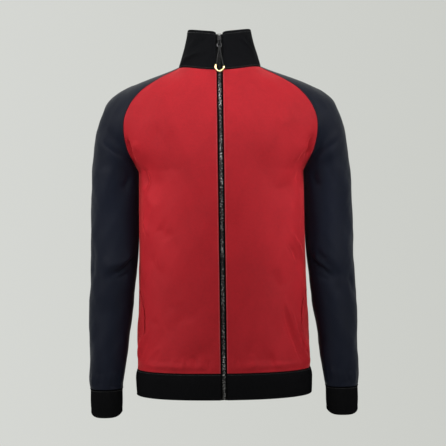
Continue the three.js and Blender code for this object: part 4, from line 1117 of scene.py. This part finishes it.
def brass_tube():
    """A bent tube with open mouths: the rings go in at one mouth, over the outside, and in at the other."""
    bore, wall, sides = TUBE["bore"], 0.5, 28
    mouth = ((3.5, bore - wall), (0.15, bore - wall), (0, bore - wall + 0.12), (0, bore - 0.14), (0.15, bore))
    rings = [(tube_mouths(inside)[0], radius) for inside, radius in mouth]
    rings += [(angle, bore) for angle in np.linspace(*tube_mouths(0.6), 56)]
    rings += [(tube_mouths(inside)[1], radius) for inside, radius in mouth[::-1]]
    turn = (2 * np.pi * np.arange(sides) / sides)[:, None]
    aside = np.array([0, 1.0, 0])
    vertices = []
    for angle, radius in rings:
        outward = np.cross(unit(tube_point(angle + 0.5) - tube_point(angle - 0.5)), aside)
        vertices.append(tube_point(angle) + radius * (outward * np.cos(turn) + aside * np.sin(turn)))
    return pull_frame(np.concatenate(vertices)), [face[::-1] for face in tube_faces(len(rings), sides)]


def cord_path():
    """From one of the tube's mouths up, round the ring's lowest stretch, and down to the other."""
    left, right = (tube_point(angle) for angle in tube_mouths(-0.35))
    left_end, right_end = (tube_point(angle) for angle in tube_mouths(2.2))
    foot = -PULLER["drop"] - PULLER["outer"]
    beside = PULLER["thick"] / 2 + CORD_RADIUS + 0.4
    within = -PULLER["drop"] - PULLER["hole"] + CORD_RADIUS + 0.4
    knots = [
        left_end,
        left,
        left + [0.9, 0.2, 3],
        (-4.6, -1, -38),
        (-2.2, -1.4, -25),
        (-0.9, -beside, foot - 2),
        (-0.5, -beside, foot + 0.6),
        (-0.3, -beside * 0.85, within - 0.4),
        (0, 0, within + 0.4),
        (0.3, beside * 0.85, within - 0.4),
        (0.5, beside, foot + 0.6),
        (0.9, beside * 0.9, foot - 2),
        (2.2, 0.2, -25),
        (4.6, -0.6, -38),
        right + [-0.9, 0.2, 3],
        right,
        right_end,
    ]
    curve = space_curve(table("x y z", *knots))
    return pull_frame(curve(np.linspace(0, 1, 220)))


# Materials


def node(tree, kind, inputs=None, **settings):
    made = tree.nodes.new("ShaderNode" + kind)
    for key, value in settings.items():
        setattr(made, key, value)
    for key, value in (inputs or {}).items():
        if isinstance(value, bpy.types.NodeSocket):
            tree.links.new(value, made.inputs[key])
        else:
            made.inputs[key].default_value = value
    return made


def maths(tree, operation, a, b=0.0):
    return node(tree, "Math", {0: a, 1: b}, operation=operation).outputs[0]


def times(tree, a, b):
    return maths(tree, "MULTIPLY", a, b)


def wave(tree, value):
    return maths(tree, "ABSOLUTE", maths(tree, "SINE", value))


def ramp(tree, value, low=0.0, high=1.0, start=0.0, end=1.0):
    """A value between low and high, as one between start and end."""
    return node(tree, "MapRange", {0: value, 1: low, 2: high, 3: start, 4: end}).outputs[0]


def bump(tree, height, distance, strength, **inputs):
    """A normal bumped by a height, by so many mm."""
    inputs = {"Height": height, "Distance": distance * MM, "Strength": strength, **inputs}
    return node(tree, "Bump", inputs).outputs[0]


def darker(colour, share):
    return tuple(c * share for c in colour)


def new_material(name):
    material = bpy.data.materials.new(name)
    material.use_nodes = True
    material.node_tree.nodes.clear()
    return material, material.node_tree


def set_shader(tree, colour, roughness, normal, specular, others):
    """The shader of a material, and its output."""
    inputs = {"Base Color": colour, "Roughness": roughness, "Normal": normal, "Specular IOR Level": specular}
    shader = node(tree, "BsdfPrincipled", {**inputs, **others})
    node(tree, "OutputMaterial", {"Surface": shader.outputs[0]})


def colour_mix(tree, factor, a, b):
    made = node(tree, "Mix", {0: factor}, data_type="RGBA")
    for socket, value in ((made.inputs[6], a), (made.inputs[7], b)):
        if isinstance(value, bpy.types.NodeSocket):
            tree.links.new(value, socket)
        else:
            socket.default_value = (*value, 1)
    return made.outputs[2]


def place_noise(tree, scale, detail=3.0, roughness=0.55):
    """Noise in the object's own space, in cycles a metre."""
    where = node(tree, "TexCoord").outputs["Object"]
    inputs = {"Vector": where, "Scale": scale, "Detail": detail, "Roughness": roughness}
    return node(tree, "TexNoise", inputs).outputs[0]


# Width and length of a stitch or rib in metres
WEAVES = {
    "knit": (0.0012, 0.001),
    "rib": (0.0026, 0.0012),
    "twill": (0.0007, 0.0007),
    "braid": (0.0012, 0.0011),
}


def weave_height(tree, kind):
    """Height of the cloth's surface from its own metres across and down."""
    uv = node(tree, "SeparateXYZ", {0: node(tree, "UVMap", uv_map="cloth").outputs[0]})
    pitch, course = WEAVES[kind]
    across = times(tree, uv.outputs[0], math.pi / pitch)
    if kind == "twill":
        return wave(tree, maths(tree, "ADD", across, times(tree, uv.outputs[1], math.pi / course)))
    wale = wave(tree, across)
    side = wave(tree, times(tree, across, 0.5 if kind == "braid" else 1.0))
    rise = maths(tree, "ADD", times(tree, uv.outputs[1], 2 * math.pi / course), times(tree, side, 2.4))
    loop = times(tree, maths(tree, "SINE", rise), 0.14 if kind == "rib" else 0.3)
    if kind == "rib":
        wale = maths(tree, "POWER", wale, 0.6)
    return times(tree, wale, maths(tree, "ADD", loop, 0.8))


def cloth_material(
    name, colour, kind, relief, roughness, specular, sheen=0.0, nap=0.5, mottle=0.08, puff=0.35, tint=(1, 1, 1)
):
    """Knitted or woven cloth: relief and puff are the heights in mm of its weave and of its soft unevenness."""
    material, tree = new_material(name)
    height = weave_height(tree, kind)
    close = place_noise(tree, 220, 2)
    patch = maths(tree, "ADD", times(tree, place_noise(tree, 13, 4), 0.6), times(tree, close, 0.4))
    dark, light = darker(colour, 1 - mottle), darker(colour, 1 + mottle)
    body = colour_mix(tree, ramp(tree, patch, 0.35, 0.65), dark, light)
    # Painted shade: the colour is darker in the weave's hollows, where they would be shaded
    base = colour_mix(tree, ramp(tree, height, 0.1, 0.7), darker(colour, 0.62), body)
    fuzz = ramp(tree, close, start=roughness - 0.06, end=roughness + 0.06)
    swell = bump(tree, place_noise(tree, 48, 3, 0.45), puff, 1.0)
    sheens = {"Sheen Weight": sheen, "Sheen Roughness": nap, "Sheen Tint": (*tint, 1)}
    set_shader(tree, base, fuzz, bump(tree, height, relief, 0.8, Normal=swell), specular, sheens)
    return material


def metal_material(name, colour, roughness, metallic, scratch, specular=0.5, grime=0.75):
    material, tree = new_material(name)
    fine, broad = place_noise(tree, 2600, 4), place_noise(tree, 350, 3)
    base = colour_mix(tree, ramp(tree, broad, 0.38, 0.62), darker(colour, grime), colour)
    rough = ramp(tree, broad, 0.3, 0.7, roughness * 1.25, roughness * 0.8)
    set_shader(tree, base, rough, bump(tree, fine, scratch, 0.6), specular, {"Metallic": metallic})
    return material


def teeth_material(name, dark, light):
    """Dull moulded teeth with painted glints, bright dots in their colour in place of highlights, and plain
    darker ones in the collar.
    """
    material, tree = new_material(name)
    glint_spots = ramp(tree, place_noise(tree, 420, 1), 0.54, 0.62)
    glint_patches = ramp(tree, place_noise(tree, 19, 1), 0.42, 0.6, 0.25)
    height = node(tree, "SeparateXYZ", {0: node(tree, "TexCoord").outputs["Object"]}).outputs[2]
    below = ramp(tree, height, -0.012, -0.022)
    # Painted glints: dots of bright colour that stand in for highlights, only below the collar
    painted_glint = times(tree, times(tree, glint_spots, glint_patches), below)
    base = colour_mix(tree, painted_glint, colour_mix(tree, below, darker(dark, 0.15), dark), light)
    marks = bump(tree, place_noise(tree, 2600, 4), 0.01, 0.6)
    set_shader(tree, base, ramp(tree, glint_spots, start=0.6, end=0.38), marks, 0.15, {"Metallic": 0.1})
    return material


def thread_material(name, colour):
    material, tree = new_material(name)
    twist = place_noise(tree, 1500, 2)
    strands = colour_mix(tree, twist, darker(colour, 0.6), darker(colour, 1.3))
    set_shader(tree, strands, 0.6, bump(tree, twist, 0.05, 0.7), 0.3, {"Sheen Weight": 0.1})
    return material


red = cloth_material(
    "red_knit", (0.32, 0.0098, 0.0157), "knit", 0.1, 0.7, 0.11,
    sheen=1.0, nap=0.3, mottle=0.13, tint=(1, 0.1, 0.1),
)
navy = cloth_material(
    "navy_knit", (0.0034, 0.0048, 0.0112), "knit", 0.1, 0.55, 0.08, sheen=0.02, tint=(0.8, 0.9, 1)
)
black = cloth_material("black_knit", (0.0048, 0.005, 0.0057), "knit", 0.1, 0.75, 0.008)
rib = cloth_material("black_rib", (0.0045, 0.0045, 0.005), "rib", 0.35, 0.9, 0.0)
tape = cloth_material("tape_twill", (0.003, 0.003, 0.0032), "twill", 0.12, 0.8, 0.05, puff=0.0)
braid = cloth_material("cord_braid", (0.0055, 0.0055, 0.006), "braid", 0.2, 0.7, 0.35, sheen=0.08, puff=0.0)
# The second colour is the painted glint on the teeth
teeth = teeth_material("teeth_grey", (0.012, 0.011, 0.011), (0.5, 0.49, 0.48))
dark_metal = metal_material("dark_metal", (0.022, 0.0225, 0.0235), 0.35, 0.6, 0.01, specular=0.25)
slider_metal = metal_material("slider_metal", (0.0045, 0.0045, 0.005), 0.4, 0.4, 0.01, specular=0.2)
brass = metal_material("pale_brass", (0.7, 0.54, 0.25), 0.26, 1.0, 0.004, grime=0.9)
red_thread = thread_material("red_thread", (0.34, 0.12, 0.13))
black_thread = thread_material("black_thread", (0.006, 0.006, 0.007))

# Cloth


def stands_for(piece, slot, *nodes):
    """Hides the CAD nodes that a piece replaces and returns the piece; the slot is not used."""
    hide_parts(*nodes)
    return piece


fronts = {side: body_grid(True, side) for side in (1, -1)}
backs = {side: body_grid(False, side) for side in (1, -1)}
hem = join_halves(hem_half(1), hem_half(-1))
collar = join_halves(collar_half(1), collar_half(-1))
sides = {1: "left", -1: "right"}

pieces, cuffs = {}, {}
for side, word in sides.items():
    mirror = side < 0
    front = shell(f"front_{word}_cloth", *fronts[side], WALL, red, mirror)
    pieces[f"front_{word}"] = stands_for(front, "red_cloth", f"front_{word}")
    *grid, rings = sleeve_grid(side)
    sleeve = shell(f"sleeve_{word}_cloth", *grid, WALL, navy, mirror, rings)
    pieces[f"sleeve_{word}"] = stands_for(sleeve, "navy_cloth", f"sleeve_{word}")
    *cuffs[side], rings = cuff_grid(side)
    cuff = shell(f"cuff_{word}_rib", *cuffs[side], BAND_WALL, rib, mirror, rings, round_sides=False)
    pieces[f"cuff_{word}"] = stands_for(cuff, "black_rib", f"cuff_{word}")
    welt = shell(f"welt_{word}", *welt_grid(*fronts[side]), WELT["thickness"], red, mirror)
    pieces[f"welt_{word}"] = stands_for(welt, "red_cloth", f"pocket_welt_{word}")

# join_halves meets at the last columns, so each half of the back is turned round first
back = join_halves(*[(p[:, ::-1], n[:, ::-1]) for p, n in (backs[1], backs[-1])])
pieces["back"] = stands_for(shell("back_cloth", *back, WALL, red), "red_cloth", "back")
pieces["hem"] = stands_for(shell("hem_rib", *hem, BAND_WALL, rib), "black_rib", "hem_band")
pieces["collar"] = stands_for(shell("collar_cloth", *collar, BAND_WALL, black), "black_cloth", "collar")

# Zip
closure = closure_path(hem, fronts[1], collar)
for side, word in sides.items():
    strip = shell(f"tape_{word}", *tape_grid(closure), TAPE_WALL, tape, side < 0)
    pieces[f"tape_{word}"] = stands_for(strip, "zip_tape", f"zip_tape_{word}")
stands_for(mesh_piece("zip_teeth", *zip_teeth(closure), teeth, smooth=False), "zip_teeth", "zip_chain")

slider_at, _, _ = along_closure(closure, [height_on_closure(closure, SLIDER_Z)])
SLIDER_Y = float(slider_at[0, 1])
PULL_Y = -SLIDER["plate"] - SLIDER["window"] / 2
PULL_Z = -SLIDER["length"] * 0.44 + SLIDER["crown"] + PULLER["bar"] + 0.35
stands_for(mesh_piece("slider", *slider_parts(), slider_metal), "dark_metal", "zip_slider")
stands_for(mesh_piece("puller", *puller_part(), dark_metal, "pull"), "dark_metal", "pull_ring")
stands_for(mesh_piece("bent_tube", *brass_tube(), brass, "pull"), "brass", "pull_tube")
vertices, faces, uv = sweep(cord_path(), CORD_RADIUS, 14)
stands_for(mesh_piece("pull_cord_braid", vertices, faces, braid, "pull", uv=uv), "cord", "pull_cord")

# Stitching
red_lines = [line_beside(*fronts[side], 1, 1.3, mirror=side < 0) for side in sides]
black_lines = [line_beside(*cuffs[side], 0, 3, True, side < 0) for side in sides]
black_lines += [line_beside(*collar, 0, 6, True), line_beside(*collar, 0, 3), line_beside(*hem, 0, 3, True)]
piece = mesh_piece("stitches_red", *stitches(red_lines, step=2.4, long=1.5, radius=0.26), red_thread)
piece = mesh_piece("stitches_black", *stitches(black_lines), black_thread)

# Stage, light and camera


def backdrop():
    """A pale studio wall at eye level, dim above and dark below, so that the lamps shape the cloth."""
    world = bpy.data.worlds.new("studio")
    world.use_nodes = True
    tree = world.node_tree
    tree.nodes.clear()
    x, y, z = node(tree, "SeparateXYZ", {0: node(tree, "TexCoord").outputs["Generated"]}).outputs
    colour = colour_mix(tree, ramp(tree, x, -0.2, 0.2), (0.668, 0.68, 0.65), (0.6, 0.612, 0.578))
    behind = ramp(tree, y, -0.1, 0.4)
    middle = node(tree, "Mix", {0: ramp(tree, z, 0.24, 0.5)}, data_type="FLOAT")
    tree.links.new(ramp(tree, behind, start=0.55), middle.inputs[2])
    tree.links.new(ramp(tree, behind, start=0.6, end=2.7), middle.inputs[3])
    strength = times(tree, ramp(tree, z, -0.5, -0.24), middle.outputs[0])
    light = node(tree, "Background", {0: colour, 1: strength})
    node(tree, "OutputWorld", {0: light.outputs[0]})
    bpy.context.scene.world = world


# Name, place, aim, size in metres, watts and spread in degrees
LAMPS = (
    ("left_soft", (-1.6, -0.9, 0.45), (0, 0, -0.25), 0.7, 23.5, 180),
    ("right_soft", (1.6, -0.9, 0.45), (0, 0, -0.25), 0.7, 16.5, 180),
    ("left_high", (-0.8, -0.3, 0.7), (0, 0, -0.25), 0.6, 2.6, 180),
    ("chest", (0, -1.3, 0.7), (0, -0.1, 0.05), 0.4, 0.5, 28),
    ("left_waist", (-0.5, -0.95, 0.0), (-0.178, -0.05, -0.325), 0.1, 0.054, 18),
    ("right_waist", (0.5, -0.95, 0.0), (0.178, -0.05, -0.335), 0.1, 0.058, 18),
    ("left_arm", (-0.5, -0.95, 0.1), (-0.164, -0.07, -0.172), 0.06, 0.008, 9),
    ("right_arm", (0.5, -0.95, 0.1), (0.158, -0.07, -0.178), 0.06, 0.008, 9),
    ("left_pocket", (-0.5, -0.95, -0.3), (-0.17, -0.04, -0.56), 0.1, 0.03, 18),
    ("right_pocket", (0.5, -0.95, -0.3), (0.17, -0.04, -0.54), 0.1, 0.03, 18),
    ("right_chest", (1.0, -1.1, 0.5), (0.1, 0, -0.05), 0.5, 0.7, 50),
)


def area_light(name, place, aim, size, watts, spread):
    lamp = bpy.data.lights.new(name, "AREA")
    lamp.shape = "DISK"
    lamp.size = size
    lamp.energy = watts
    lamp.spread = math.radians(spread)
    holder = bpy.data.objects.new(name, lamp)
    holder.location = place
    holder.rotation_euler = (Vector(aim) - Vector(place)).to_track_quat("-Z", "Y").to_euler()
    bpy.context.scene.collection.objects.link(holder)


backdrop()
for lamp in LAMPS:
    area_light(*lamp)

floor = bmesh.new()
bmesh.ops.create_circle(floor, cap_ends=True, segments=96, radius=2.9)
floor_mesh = bpy.data.meshes.new("floor")
floor.to_mesh(floor_mesh)
floor.free()
ground, tree = new_material("pale_floor")
grain = colour_mix(tree, place_noise(tree, 30, 4), (0.62, 0.62, 0.6), (0.66, 0.66, 0.64))
shader = node(tree, "BsdfPrincipled", {"Base Color": grain, "Roughness": 0.9})
node(tree, "OutputMaterial", {"Surface": shader.outputs[0]})
floor_mesh.materials.append(ground)
floor_piece = bpy.data.objects.new("floor", floor_mesh)
floor_piece.location.z = -1.45
bpy.context.scene.collection.objects.link(floor_piece)

lens = bpy.data.cameras.new("camera")
lens.lens = 94.5
lens.sensor_width = 36
lens.clip_end = 100
camera = bpy.data.objects.new("camera", lens)
camera.location = (0.0023, -2.4, -0.3194)
camera.rotation_euler = (math.pi / 2, math.radians(0.8), 0)
bpy.context.scene.collection.objects.link(camera)
bpy.context.scene.camera = camera
bpy.context.scene.view_settings.view_transform = "Standard"
